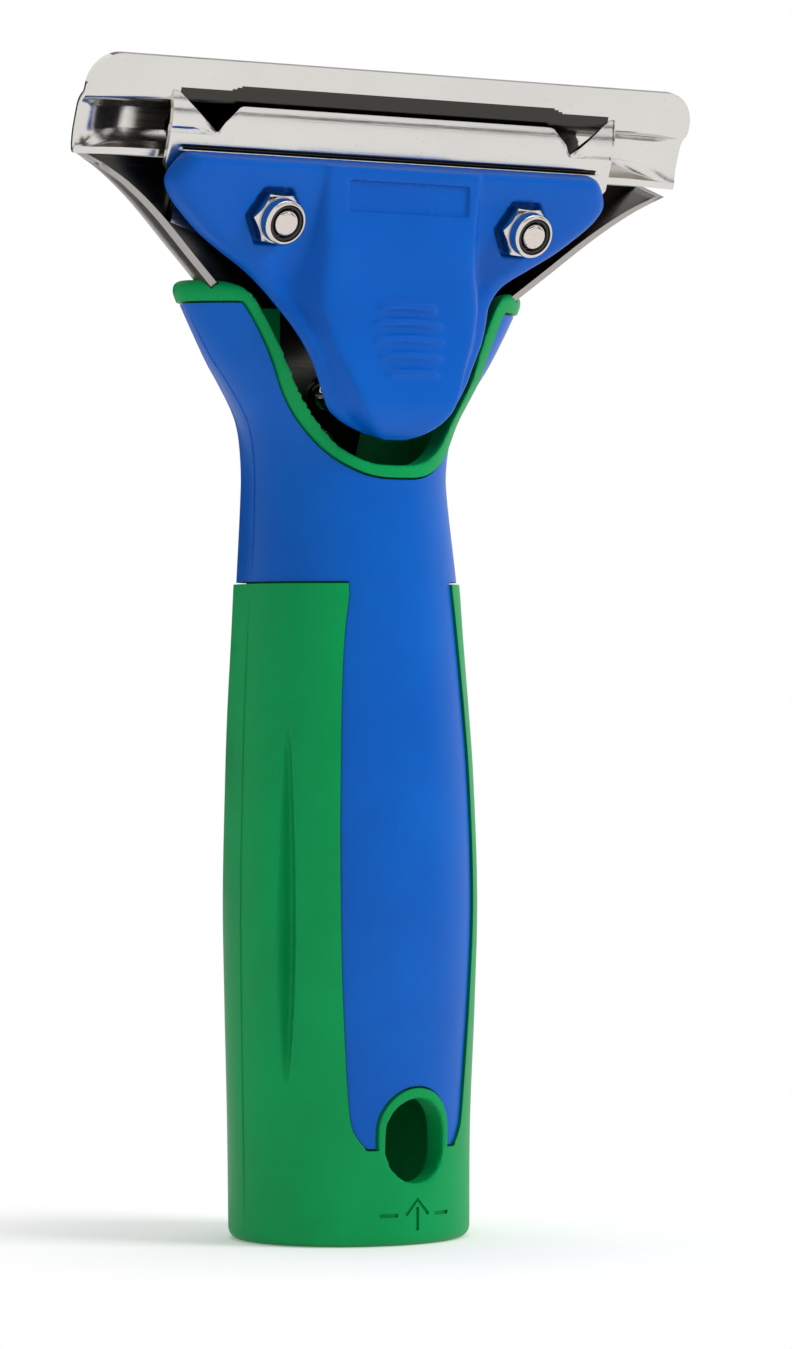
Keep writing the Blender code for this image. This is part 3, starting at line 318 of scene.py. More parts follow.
# %% A plastic
def mix_colour(add, mask, low, high):
    """A colour between two, led by a mask."""
    return add("ShaderNodeMix", {0: mask, 6: low, 7: high}, data_type="RGBA")


def effect(add, group, place, **values):
    """A shared effect, laid out on the piece itself."""
    return add("ShaderNodeGroup", {"Place": (place, "Object"), **values}, node_tree=group)


def plastic(name, colour, deep, scuffed, roughness, gloss, grain_depth, wear):
    """A moulded plastic with drift of tone, grain, scratches and specks."""
    made, add = new_material(name)
    place = add("ShaderNodeTexCoord")
    tone = effect(add, drift, place, Scale=55.0)
    base = mix_colour(add, (tone, "Mask"), deep, colour)
    marks = effect(add, scratches, place, Stretch=(900.0, 900.0, 90.0), Amount=wear)
    dots = effect(add, specks, place, Scale=520.0, Amount=wear * 0.3)
    both = add("ShaderNodeMath", {0: (marks, "Mask"), 1: (dots, "Mask")}, operation="MAXIMUM")
    weak = add("ShaderNodeMath", {0: (both, 0), 1: 0.35}, operation="MULTIPLY")
    worn = mix_colour(add, (weak, 0), (base, 2), scuffed)
    rough = add(
        "ShaderNodeMapRange", {"Value": (tone, "Mask")},
        To_Min=roughness - 0.04, To_Max=roughness + 0.06,
    )
    rougher = add(
        "ShaderNodeMath", {0: (both, 0), 1: 0.18, 2: (rough, "Result")},
        operation="MULTIPLY_ADD", use_clamp=True,
    )
    skin = effect(add, grain, place, Scale=2600.0)
    bump = add("ShaderNodeBump", {"Height": (skin, "Height")}, Strength=0.35, Distance=grain_depth)
    shader = add("ShaderNodeBsdfPrincipled", {
        "Base Color": (worn, 2), "Roughness": (rougher, 0), "Normal": (bump, "Normal"),
    }, Specular_IOR_Level=gloss, IOR=1.48)
    add("ShaderNodeOutputMaterial", {"Surface": (shader, 0)})
    return made


green_skin = plastic(
    "green_grip", (0.0, 0.325, 0.085, 1), (0.0, 0.285, 0.073, 1), (0.01, 0.39, 0.12, 1),
    0.44, 0.16, 0.00005, 0.16,
)
blue_skin = plastic(
    "blue_shell", (0.0, 0.114, 0.522, 1), (0.0, 0.095, 0.470, 1), (0.01, 0.155, 0.58, 1),
    0.36, 0.18, 0.00003, 0.12,
)
lever_skin = plastic(
    "blue_lever", (0.0, 0.106, 0.515, 1), (0.0, 0.092, 0.465, 1), (0.01, 0.15, 0.58, 1),
    0.40, 0.18, 0.00005, 0.14,
)
print("plastics:", green_skin.name, blue_skin.name, lever_skin.name)

# %% [markdown]
# ## The metals
# The two jaws are bright sheet steel. Rolling leaves fine lines along the sheet, and use adds
# a sparkle of tiny dents. The pan and its walls are duller. The nuts are bright, a little
# warmer, and marked by the spanner. In a real room the insides of the trough and of the pan
# lie in shade and mirror only other dark steel, so those faces get painted shade: a steel of
# a dark tone. The rings in the nuts are dark nylon.

# %% A metal
def metal(name, colour, roughness, stretch, line_depth, wear, tint=(0.42, 0.40, 0.37, 1)):
    """Steel with rolling lines in its bump and roughness, and specks of wear."""
    made, add = new_material(name)
    deep = tuple(0.93 * value for value in colour[:3]) + (1,)
    place = add("ShaderNodeTexCoord")
    tone = effect(add, drift, place, Scale=38.0)
    lines = effect(add, scratches, place, Stretch=stretch, Amount=1.0)
    dots = effect(add, specks, place, Scale=900.0, Amount=wear)
    base = mix_colour(add, (tone, "Mask"), deep, colour)
    weak = add("ShaderNodeMath", {0: (dots, "Mask"), 1: 0.5}, operation="MULTIPLY")
    worn = mix_colour(add, (weak, 0), (base, 2), tint)
    rough = add(
        "ShaderNodeMapRange", {"Value": (tone, "Mask")},
        To_Min=roughness * 0.8, To_Max=roughness * 1.25,
    )
    more = add(
        "ShaderNodeMath", {0: (lines, "Mask"), 1: 0.10, 2: (rough, "Result")},
        operation="MULTIPLY_ADD", use_clamp=True,
    )
    bump = add("ShaderNodeBump", {"Height": (lines, "Mask")}, Strength=0.25, Distance=line_depth)
    dent = add(
        "ShaderNodeBump", {"Height": (dots, "Mask"), "Normal": (bump, "Normal")},
        Strength=0.30, Distance=0.00003, invert=True,
    )
    shader = add("ShaderNodeBsdfPrincipled", {
        "Base Color": (worn, 2), "Roughness": (more, 0), "Normal": (dent, "Normal"),
    }, Metallic=1.0)
    add("ShaderNodeOutputMaterial", {"Surface": (shader, 0)})
    return made


bright_steel = metal(
    "bright_steel", (0.72, 0.70, 0.67, 1), 0.125, (70.0, 5200.0, 5200.0), 0.000012, 0.16
)
dull_steel = metal(
    "dull_steel", (0.46, 0.435, 0.41, 1), 0.34, (60.0, 3200.0, 3200.0), 0.000030, 0.20
)
nut_steel = metal(
    "nut_steel", (0.70, 0.64, 0.59, 1), 0.10, (900.0, 900.0, 900.0), 0.000015, 0.22
)
spring_steel = metal(
    "spring_steel", (0.50, 0.49, 0.47, 1), 0.22, (1500.0, 90.0, 1500.0), 0.000020, 0.15
)
# Painted shade: a steel of a dark tone for the faces in the hollows behind the jaws and inside the
# pan.
painted_shade_steel = metal(
    "painted_shade_steel", (0.058, 0.055, 0.050, 1), 0.18, (60.0, 3200.0, 3200.0), 0.000010, 0.10,
    (0.04, 0.04, 0.04, 1),
)
print("metals:", bright_steel.name, dull_steel.name, nut_steel.name, spring_steel.name)

# %% The dark nylon of the locking rings
nylon_skin, add = new_material("dark_nylon_ring")
place = add("ShaderNodeTexCoord")
tone = effect(add, drift, place, Scale=300.0)
base = mix_colour(
    add, (tone, "Mask"), (0.008, 0.008, 0.009, 1), (0.022, 0.022, 0.025, 1)
)
skin = effect(add, grain, place, Scale=5200.0)
bump = add("ShaderNodeBump", {"Height": (skin, "Height")}, Strength=0.3, Distance=0.00003)
shader = add(
    "ShaderNodeBsdfPrincipled", {"Base Color": (base, 2), "Normal": (bump, "Normal")},
    Roughness=0.5,
)
add("ShaderNodeOutputMaterial", {"Surface": (shader, 0)})
print("nylon ready")

# %% [markdown]
# ## Making shapes
# The pieces are drawn in code from the tool's real sizes. A loft joins rings of points into a
# solid, a plate fills an outline, and a turned piece spins a profile. Holes are cut with
# Boolean modifiers. The head leans forward by 20 degrees, so its pieces are drawn flat in the
# head's own frame and then turned into place.

# %% Frame of the head and small maths
HEAD_PLACE = (0.0, -0.0034, 0.1480)
HEAD_LEAN = math.radians(20)
HEAD = Matrix.Translation(HEAD_PLACE) @ Matrix.Rotation(HEAD_LEAN, 4, "X")
collect = bpy.data.collections.new("tools")
bpy.context.scene.collection.children.link(collect)
collect.hide_render = True


def mix(low, high, share):
    return low + (high - low) * share


def circle(count):
    """The angles of a full turn in equal steps."""
    return [2 * math.pi * index / count for index in range(count)]


def smooth(rows, at):
    """Read a table of rows, the first column rising, with a smooth curve through its points."""
    last = len(rows) - 1
    index = max(i for i in range(last) if at >= rows[i][0] or i == 0)
    before, after = rows[max(index - 1, 0)], rows[min(index + 2, last)]
    low, high = rows[index], rows[index + 1]
    span = high[0] - low[0]
    t = min(max((at - low[0]) / span, 0.0), 1.0)
    values = []
    for column in range(1, len(low)):
        first = final = high[column] - low[column]
        if index > 0:
            first = (high[column] - before[column]) * span / (high[0] - before[0])
        if index < last - 1:
            final = (after[column] - low[column]) * span / (after[0] - low[0])
        values.append(
            low[column] * (2 * t ** 3 - 3 * t ** 2 + 1) + first * (t ** 3 - 2 * t ** 2 + t)
            + high[column] * (3 * t ** 2 - 2 * t ** 3) + final * (t ** 3 - t ** 2)
        )
    return values


print("head leans", round(math.degrees(HEAD_LEAN)), "degrees")


# %% Meshes from rings, outlines and profiles
def mesh_from(bm):
    bmesh.ops.recalc_face_normals(bm, faces=bm.faces)
    mesh = bpy.data.meshes.new("shape")
    bm.to_mesh(mesh)
    bm.free()
    return mesh


def loft(rings, closed=False):
    """A solid through rings of points; closed joins the last ring to the first."""
    bm = bmesh.new()
    rows = [[bm.verts.new(point) for point in ring] for ring in rings]
    count = len(rows[0])
    pairs = list(zip(rows, rows[1:])) + ([(rows[-1], rows[0])] if closed else [])
    for lower, upper in pairs:
        for index in range(count):
            after = (index + 1) % count
            bm.faces.new((lower[index], lower[after], upper[after], upper[index]))
    if not closed:
        bm.faces.new(list(reversed(rows[0])))
        bm.faces.new(rows[-1])
    bmesh.ops.remove_doubles(bm, verts=bm.verts, dist=1e-7)
    return mesh_from(bm)


def plate(points, front, back):
    """A flat outline in X and Z that fills Y from front to back."""
    return loft([[Vector((x, y, z)) for x, z in points] for y in (front, back)])


def turned(profile, sides=64, closed=False):
    """A solid turned about the Y axis through (radius, y) points; closed makes a ring."""
    return loft([
        [Vector((radius * math.cos(turn), along, radius * math.sin(turn)))
         for turn in circle(sides)] for radius, along in profile
    ], closed)


def block(low, high):
    corners = [(low[0], low[2]), (high[0], low[2]), (high[0], high[2]), (low[0], high[2])]
    return plate(corners, low[1], high[1])


def mirrored(half):
    """A closed outline from its right half, listed from bottom to top."""
    return list(half) + [(-x, z) for x, z in reversed(half) if x > 0]


print("mesh helpers ready")


# %% Pieces, cutters and edges
def piece(name, mesh, skin, body, stands_for, matrix=None):
    """A shown piece that rides on a body and stands for some of the model's nodes."""
    if matrix:
        mesh.transform(matrix)
    item = bpy.data.objects.new(name, mesh)
    bpy.context.scene.collection.objects.link(item)
    mesh.name = name
    mesh.materials.append(skin)
    mesh.shade_smooth()
    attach(item, body)
    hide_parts(*stands_for)
    return item


def cutter(name, mesh, matrix=None):
    """A hidden object that cuts others."""
    if matrix:
        mesh.transform(matrix)
    item = bpy.data.objects.new(name, mesh)
    collect.objects.link(item)
    item.hide_render = True
    return item


def cut(item, tool, operation="DIFFERENCE"):
    modifier = item.modifiers.new(tool.name, "BOOLEAN")
    modifier.operation = operation
    modifier.solver = "EXACT"
    modifier.object = tool


def carve(item, name, mesh, matrix=None, operation="DIFFERENCE"):
    """Cut a piece with a mesh that a matrix puts in place."""
    cut(item, cutter(name, mesh, matrix), operation)


def at_place(x, z):
    """A place in the head's plane."""
    return HEAD @ Matrix.Translation((x, 0, z))


BEFORE_HEAD, BEHIND_PAN = -0.0168, 0.0065


def drill(item, name, places, radius, front=BEFORE_HEAD, sides=48):
    """Round holes through a piece of the head, from a front to behind the pan."""
    for x, z in places:
        hole = turned(((radius, front), (radius, BEHIND_PAN)), sides)
        carve(item, name, hole, at_place(x, z))


def bake(item):
    """Turn the modifiers' result into the mesh itself."""
    graph = bpy.context.evaluated_depsgraph_get()
    made = bpy.data.meshes.new_from_object(item.evaluated_get(graph))
    item.modifiers.clear()
    item.data = made


# The remesh works on a turned copy, so its grid never runs along the piece's flat faces.
TILT = Matrix.Rotation(0.6, 4, "X") @ Matrix.Rotation(0.45, 4, "Y") @ Matrix.Rotation(0.8, 4, "Z")


def soften(item, voxel, rounds, keep):
    """Rebuild a moulded piece as an even skin, rub its edges round and thin it out again."""
    item.data.transform(TILT)
    skin = item.modifiers.new("skin", "REMESH")
    skin.mode = "VOXEL"
    skin.voxel_size = voxel
    skin.use_smooth_shade = True
    rub = item.modifiers.new("rub", "SMOOTH")
    rub.factor = 0.5
    rub.iterations = rounds
    thin = item.modifiers.new("thin", "DECIMATE")
    thin.ratio = keep
    bake(item)
    item.data.transform(TILT.inverted())
    item.data.shade_smooth()
    print(item.name, len(item.data.polygons), "faces")


def crisp(item):
    """Shade a softened piece smooth again and keep the edges of its later cuts sharp."""
    item.data.shade_smooth()
    item.data.set_sharp_from_angle(angle=math.radians(40))


def edges(item, width, angle=35):
    """Round the edges of a sheet or a turned piece and keep its flats flat."""
    bevel = item.modifiers.new("edges", "BEVEL")
    bevel.width = width
    bevel.segments = 2
    bevel.limit_method = "ANGLE"
    bevel.angle_limit = math.radians(angle)
    bevel.use_clamp_overlap = True
    even = item.modifiers.new("even", "WEIGHTED_NORMAL")
    even.keep_sharp = False
    even.weight = 60


def paint_shade_on_faces(item, wanted):
    """Paint shade on the faces of a piece that a test picks in the head's frame, as a dark second
    material.
    """
    item.data.materials.append(painted_shade_steel)
    to_head = HEAD.inverted()
    for face in item.data.polygons:
        if wanted(to_head @ face.center, to_head.to_3x3() @ face.normal):
            face.material_index = 1


print("piece helpers ready")

# %% [markdown]
# ## The handle's skin
# The handle is an ellipse at every height: round at the base, fuller at the belly, slim at
# the neck, and wide and flat at the mouth. One table of heights gives its half width, half
# depth and how far it is set back. A curve through the table gives any height between.

# %% Skin table, its rows in millimetres
HANDLE_HEIGHT = 0.1396
RING_STEP = 0.0015
SKIN = (
    (0.0, 18.20, 16.70, 0.31), (16.75, 18.40, 16.70, 0.40), (35.0, 18.90, 17.40, 0.11),
    (50.0, 19.10, 17.90, 0.0), (67.6, 18.59, 17.55, 0.23), (77.1, 18.11, 17.10, 0.54),
    (88.0, 17.40, 16.40, 0.81), (95.5, 16.96, 15.98, 0.99), (110.3, 15.90, 14.70, 1.80),
    (114.75, 16.20, 14.46, 1.71), (118.7, 17.17, 14.22, 1.35), (121.5, 18.73, 13.94, 0.99),
    (126.1, 22.16, 13.66, 0.63), (128.0, 23.80, 12.90, 0.54), (131.0, 25.88, 12.02, 0.36),
    (135.6, 28.71, 11.06, 0.22), (139.6, 30.80, 10.70, 0.18),
)
RING_POINTS = 128


def skin_size(height):
    """Half width, half depth and set-back of the skin at a height, in metres."""
    return [value / 1000 for value in smooth(SKIN, height * 1000)]


def skin_ring(height, inset=0.0):
    """One ring of the handle's skin, drawn in by an inset, all in metres."""
    wide, deep, back = skin_size(height)
    return [
        Vector(((wide - inset) * math.cos(turn), back + (deep - inset) * math.sin(turn), height))
        for turn in circle(RING_POINTS)
    ]


def skin_loft(low, high, inset, ends=(0.0, 0.0)):
    """A loft of the skin between two heights, its ends rounded over by two radii."""
    count = max(2, round((high - low) / RING_STEP))
    rings = [(mix(low, high, index / count), inset) for index in range(count + 1)]
    curl = [math.pi / 2 * index / 5 for index in range(6)]
    for radius, end, way in ((ends[0], low, 1), (ends[1], high, -1)):
        if radius:
            rings = [row for row in rings if way * (row[0] - end) > radius]
            rounded = [
                (end + way * radius * (1 - math.sin(turn)), inset + radius * (1 - math.cos(turn)))
                for turn in curl
            ]
            rings = rounded[::-1] + rings if way > 0 else rings + rounded
    return loft([skin_ring(height, drawn) for height, drawn in rings])


print("skin at the belly:", [round(value, 1) for value in smooth(SKIN, 50.0)])

# %% [markdown]
# ## Openings and regions of the handle
# Two outlines decide where green ends and blue begins: the U of the mouth, and the long
# tongue on the front. The same outlines, grown or shrunk, cut both mouldings, so the thin
# gap between them comes out even.

# %% Outlines
GAP = 0.0003
OUTSIDE = -0.035
WRAP = 0.0348
PAST = 0.004
MOUTH_FLOOR = 0.1131
MOUTH_WIDE = 0.0308
RIM_WIDTH = 0.0021
SHOULDER_RIM = 0.0034
COLLAR = 0.0956
PANEL_FOOT = 0.0142
PANEL_WIDE = 0.01175
RING_WIDE = 0.00645
RING_TOP = 0.0231
MOUTH_ROWS = (
    (0.0, 0.0, 0.0), (1, 0.11, 0.006), (2, 0.20, 0.04), (3, 0.30, 0.12), (4, 0.40, 0.27),
    (5, 0.50, 0.46), (6, 0.575, 0.66), (7, 0.65, 0.83), (8, 0.71, 0.93), (9, 0.79, 0.985),
    (10, 0.92, 1.0),
)
PANEL_ROWS = (
    (0, 0.60, 0.0), (1, 0.66, 0.002), (2, 0.76, 0.0205), (3, 0.84, 0.055), (4, 0.915, 0.178),
    (5, 0.975, 0.319), (6, 1.0, 0.448), (7, 0.985, 0.60), (8, 0.93, 0.765), (9, 0.85, 0.906),
    (10, 0.76, 1.0),
)


def dense(rows, steps=5):
    """A smooth line of (x, z) shares through a numbered table."""
    count = (len(rows) - 1) * steps
    return [tuple(smooth(rows, index / steps)) for index in range(count + 1)]


def moved(points, distance):
    """Each side of a closed outline, listed anticlockwise, moved inwards by a distance."""
    result = []
    count = len(points)
    for index, point in enumerate(points):
        here = Vector(point)
        before = (here - Vector(points[index - 1])).normalized()
        after = (Vector(points[(index + 1) % count]) - here).normalized()
        inward = Vector((-before.y - after.y, before.x + after.x)).normalized()
        reach = max(0.5, inward.dot(Vector((-before.y, before.x))))
        result.append(tuple(here + inward * (distance / reach)))
    return result


def mouth_outline(grow):
    tall = HANDLE_HEIGHT - MOUTH_FLOOR
    half = [(MOUTH_WIDE * max(x, 0), MOUTH_FLOOR + tall * z) for x, z in dense(MOUTH_ROWS)]
    half.append((half[-1][0], HANDLE_HEIGHT + PAST))
    outline = mirrored(half)
    return moved(outline, -grow) if grow else outline


def panel_outline(grow):
    half = [(PANEL_WIDE * x, mix(PANEL_FOOT, COLLAR, z)) for x, z in dense(PANEL_ROWS)]
    centre = RING_TOP - RING_WIDE
    radius = RING_WIDE - grow
    arc = []
    for index in range(17):
        turn = math.pi / 2 * (1 - index / 16)
        arc.append((radius * math.cos(turn), centre + radius * math.sin(turn)))
    arc[0] = (0.0, arc[0][1])
    outer = [(x + grow, z - (grow if index < 6 else 0)) for index, (x, z) in enumerate(half)]
    outer[-1] = (outer[-1][0], COLLAR + PAST)
    return mirrored(arc + [(radius, half[0][1] - grow)] + outer)


TONGUE_TURN = Matrix.Rotation(math.radians(3.4), 4, "Z")
MOUTH_SHIFT = Matrix.Translation((0.00045, 0, 0))


def cover_region(name, grow):
    """The space of the blue cover, grown all round: the neck over the collar, and the tongue."""
    foot, top = COLLAR + 0.0006 - grow, HANDLE_HEIGHT - SHOULDER_RIM + grow
    region = cutter(name, block((-WRAP, -WRAP, foot), (WRAP, WRAP, top)))
    mouth = plate(mouth_outline(RIM_WIDTH - grow), -WRAP - 2 * PAST, 0.0)
    carve(region, "cover_mouth", mouth, MOUTH_SHIFT)
    tongue = plate(panel_outline(grow), -WRAP - PAST, 0.0)
    carve(region, "cover_tongue", tongue, TONGUE_TURN, "UNION")
    return region


print("mouth outline has", len(mouth_outline(0.0)), "points")

# %% [markdown]
# ## The green core
# The core is the soft green moulding: the grip's sides and back, the base with its pole
# socket, and the lining and rounded rim of the mouth. After its outer cuts the skin is rebuilt
# with small even faces and rubbed, which rounds every edge the way a mould does. The pocket
# for the cover, the inner cavity and the room for the pan are cut after that, because there
# the real edges are crisp.

# %% Hollows of the core
PLATE_FACE = 0.0013
PLATE_BACK = PLATE_FACE + 0.0012
WALL, WALL_DEEP, WALL_FOOT = 0.0016, 0.0066, -0.0166
TANG_TOP, TANG_END = -0.0150, -0.0385
NECK_TOP, NECK_HALF = -0.0240, 0.0075
PAN_TOP, PAN_HALF = 0.0086, 0.0500
PAN_ROWS = (
    (0.0, 0.0), (0.123, 0.17), (0.291, 0.30), (0.414, 0.405), (0.592, 0.565),
    (0.791, 0.745), (0.92, 0.885), (1.0, 1.0),
)


def pan_half_width(z):
    share = (z - NECK_TOP) / (PAN_TOP - NECK_TOP)
    return mix(NECK_HALF, PAN_HALF, max(smooth(PAN_ROWS, share)[0], 0.0))


def pan_outline(inset, top, bottom, steps=40):
    half = [(NECK_HALF - inset, bottom)] if bottom < NECK_TOP else []
    start = max(bottom, NECK_TOP)
    for index in range(steps + 1):
        z = mix(start, PAN_TOP, index / steps)
        half.append((pan_half_width(z) - inset, z))
    if top > PAN_TOP:
        half.append((half[-1][0] + (top - PAN_TOP), top))
    return mirrored(half)


def pan_block(grow):
    """The pan before it is hollowed, grown all round."""
    outline = pan_outline(-grow, PAN_TOP, TANG_END - grow)
    return plate(outline, PLATE_BACK - WALL_DEEP - grow, PLATE_BACK + grow)


def hollow_pan(item, grow):
    """Hollow the pan between its walls, and cut its tang down to the sheet."""
    front, face = PLATE_BACK - WALL_DEEP - PAST - grow, PLATE_FACE - grow
    inside = pan_outline(WALL + grow, PAN_TOP + PAST, WALL_FOOT)
    carve(item, "pan_inside", plate(inside, front, face), HEAD)
    low = block((-PAN_HALF, front, TANG_END - PAST), (PAN_HALF, face, TANG_TOP - grow))
    carve(item, "pan_low", low, HEAD)


GROOVE_TURN = math.radians(61.5)
GROOVE_FOOT, GROOVE_TOP = 0.0215, COLLAR - 0.0131
GROOVE_REACH, GROOVE_DEPTH = 0.0019, 0.0025


def side_groove(side):
    """A long shallow cutter that follows the grip, wide in its middle and thin at its ends."""
    sine, cosine = math.sin(GROOVE_TURN), math.cos(GROOVE_TURN)
    rings = []
    for index in range(61):
        share = index / 60
        height = mix(GROOVE_FOOT, GROOVE_TOP, share)
        swell = max(math.sin(math.pi * share ** 0.75), 0.04)
        wide, deep, back = skin_size(height)
        place = Vector((side * wide * sine, back - deep * cosine, height))
        out = Vector((side * sine / wide, -cosine / deep, 0)).normalized()
        along = Vector((-out.y, out.x, 0))
        reach, depth = GROOVE_REACH * swell, GROOVE_DEPTH * swell
        rings.append([place + along * reach * across + out * up for across, up in (
            (1, 0.0004), (0.35, -0.62 * depth), (0, -depth), (-0.35, -0.62 * depth),
            (-1, 0.0004), (0, 0.004),
        )])
    return loft(rings)


print("pan is", round(2000 * pan_half_width(PAN_TOP)), "mm wide at its top")

# %% Core
SOCKET_PROFILE = ((0.0142, -0.004), (0.0134, 0.0006), (0.0132, 0.0014), (0.0122, 0.062))
SOCKET_BACK = 0.0003
HOLE_RADIUS, HOLE_FOOT, HOLE_TOP, HOLE_BACK = 0.0051, 0.0090, 0.0213, -0.0061
HANDLE_VOXEL = 0.00032

core = piece(
    "green_core", skin_loft(0.0, HANDLE_HEIGHT, 0.0, (0.0016, 0.0022)),
    green_skin, "handle", ["handle_core"],
)
carve(core, "mouth", plate(mouth_outline(0.0), OUTSIDE, 0.0))
carve(core, "socket", loft([
    [Vector((radius * math.cos(turn), SOCKET_BACK + radius * math.sin(turn), height))
     for turn in circle(96)] for radius, height in SOCKET_PROFILE
]))
hole_points = []
for centre, start in ((HOLE_TOP - HOLE_RADIUS, 0.0), (HOLE_FOOT + HOLE_RADIUS, math.pi)):
    for index in range(25):
        turn = start + math.pi * index / 24
        hole_points.append((HOLE_RADIUS * math.cos(turn), centre + HOLE_RADIUS * math.sin(turn)))
carve(core, "lock_hole", plate(hole_points, OUTSIDE, HOLE_BACK), TONGUE_TURN)
for side in (-1, 1):
    carve(core, "side_groove", side_groove(side))
bake(core)
soften(core, HANDLE_VOXEL, 6, 0.35)

# %% Crisp cuts of the core, made after the softening
LINER, CAVITY_WALL, CAVITY_FOOT = 0.0019, 0.0032, 0.1040
RIB_SIDE, RIB_HALF, RIB_BACK = 0.0138, 0.0015, 0.00205
RIB_TOP = HANDLE_HEIGHT - 0.0036

pocket = cover_region("cover_pocket", GAP)
carve(pocket, "liner", skin_loft(-0.004, HANDLE_HEIGHT + 0.002, LINER))
cavity = cutter("cavity", skin_loft(CAVITY_FOOT, HANDLE_HEIGHT + 0.002, CAVITY_WALL))
carve(cavity, "seat", block((-0.0088, 0.0028, -0.0465), (0.0088, 0.0336, -0.0200)), HEAD)
for side in (-1, 1):
    middle = side * RIB_SIDE
    carve(cavity, "rib", block(
        (middle - RIB_HALF, RIB_BACK - 0.0042, 0.1000), (middle + RIB_HALF, RIB_BACK - GAP, RIB_TOP)
    ))
pan_space = cutter("pan_space", pan_block(GAP), HEAD)
hollow_pan(pan_space, GAP)
for tool in (pocket, cavity, pan_space):
    cut(core, tool)
bake(core)
crisp(core)
print(core.name, len(core.data.polygons), "faces with its pocket and mouth")

# %% [markdown]
# ## Marks of the mould
# A plain arrow under the lock hole shows where the pole's button goes. It is engraved: narrow
# strokes cut a little way into the skin. Two thin raised lines run up the sides, where the
# halves of the mould met.

# %% Engraved arrow, its lines in millimetres
ARROW_LINES = (
    ((-1.1, 4.5), (0.9, 6.7), (2.9, 4.5)),
    ((0.9, 2.2), (0.9, 5.6)),
    ((-5.2, 4.5), (-2.4, 4.5)),
    ((4.2, 4.5), (7.0, 4.5)),
)
STROKE_WIDTH = 0.55
STROKE_DEPTH = 0.0004


def stroke(points, width):
    """The outline of a line of a given width through points."""
    line = [Vector(point) / 1000 for point in points]
    left, right = [], []
    for index, point in enumerate(line):
        run = (line[min(index + 1, len(line) - 1)] - line[max(index - 1, 0)]).normalized()
        side = Vector((-run.y, run.x)) * width / 2000
        left.append(tuple(point + side))
        right.append(tuple(point - side))
    return right + left[::-1]


mark_floor = cutter("mark_floor", skin_loft(-0.001, 0.012, STROKE_DEPTH))
for line in ARROW_LINES:
    mark = cutter("mark", plate(stroke(line, STROKE_WIDTH), OUTSIDE, -0.010))
    cut(mark, mark_floor)
    cut(core, mark)
bake(core)
crisp(core)
print(core.name, len(core.data.polygons), "faces with the arrow")


# %% Parting lines
def parting_lines(item, low, high, inset):
    """Thin raised lines at both sides, where the two halves of the mould met."""
    bm = bmesh.new()
    bm.from_mesh(item.data)
    for side in (-1, 1):
        rows = []
        for index in range(41):
            share = index / 40
            height = mix(low, high, share)
            wide, deep, back = skin_size(height)
            root = side * (wide - inset - 0.0004)
            crest = side * (wide - inset + 0.00013 * min(1.0, 8 * min(share, 1 - share) + 0.05))
            rows.append([bm.verts.new(point) for point in (
                (crest, back, height), (root, back - 0.00022, height),
                (root, back + 0.00022, height),
            )])
        for lower, upper in zip(rows, rows[1:]):
            for index in range(3):
                after = (index + 1) % 3
                corners = (lower[index], lower[after], upper[after], upper[index])
                bm.faces.new(corners).smooth = True
        bm.faces.new(rows[0][::-1])
        bm.faces.new(rows[-1])
    bmesh.ops.recalc_face_normals(bm, faces=bm.faces)
    bm.to_mesh(item.data)
    bm.free()


parting_lines(core, 0.0020, COLLAR - 0.0010, 0.0)
print("parting lines on", core.name)

# %% [markdown]
# ## The blue cover
# The cover is one thin moulding: a sleeve round the neck with a tongue down the front. It
# lies in a pocket of the core, a hair below the green, so a fine dark line runs round it.

# %% Cover
cover = piece(
    "blue_cover", skin_loft(PANEL_FOOT - 0.004, HANDLE_HEIGHT, 0.0004),
    blue_skin, "handle", ["grip_cover"],
)
carve(cover, "cover_inside", skin_loft(0.006, HANDLE_HEIGHT + 0.002, 0.0016))
bake(cover)
soften(cover, HANDLE_VOXEL, 3, 0.35)
cut(cover, cover_region("cover_space", 0.0), "INTERSECT")
bake(cover)
crisp(cover)
parting_lines(cover, COLLAR + 0.0016, HANDLE_HEIGHT - SHOULDER_RIM - 0.0010, 0.0004)
print(cover.name, len(cover.data.polygons), "faces with its parting lines")

# %% [markdown]
# ## The thumb lever
# The lever is the part that the thumb pushes. Its wings are flat and carry the two nuts in
# hexagon pockets. The middle is raised and swells downwards into a thumb rest. It is drawn as
# level sections from the top edge to the nose, then cut, and given five plain cross ribs for
# the thumb. A shallow panel is sunk above them.

# %% Lever sections, in millimetres
LEVER_TOP = 11.5
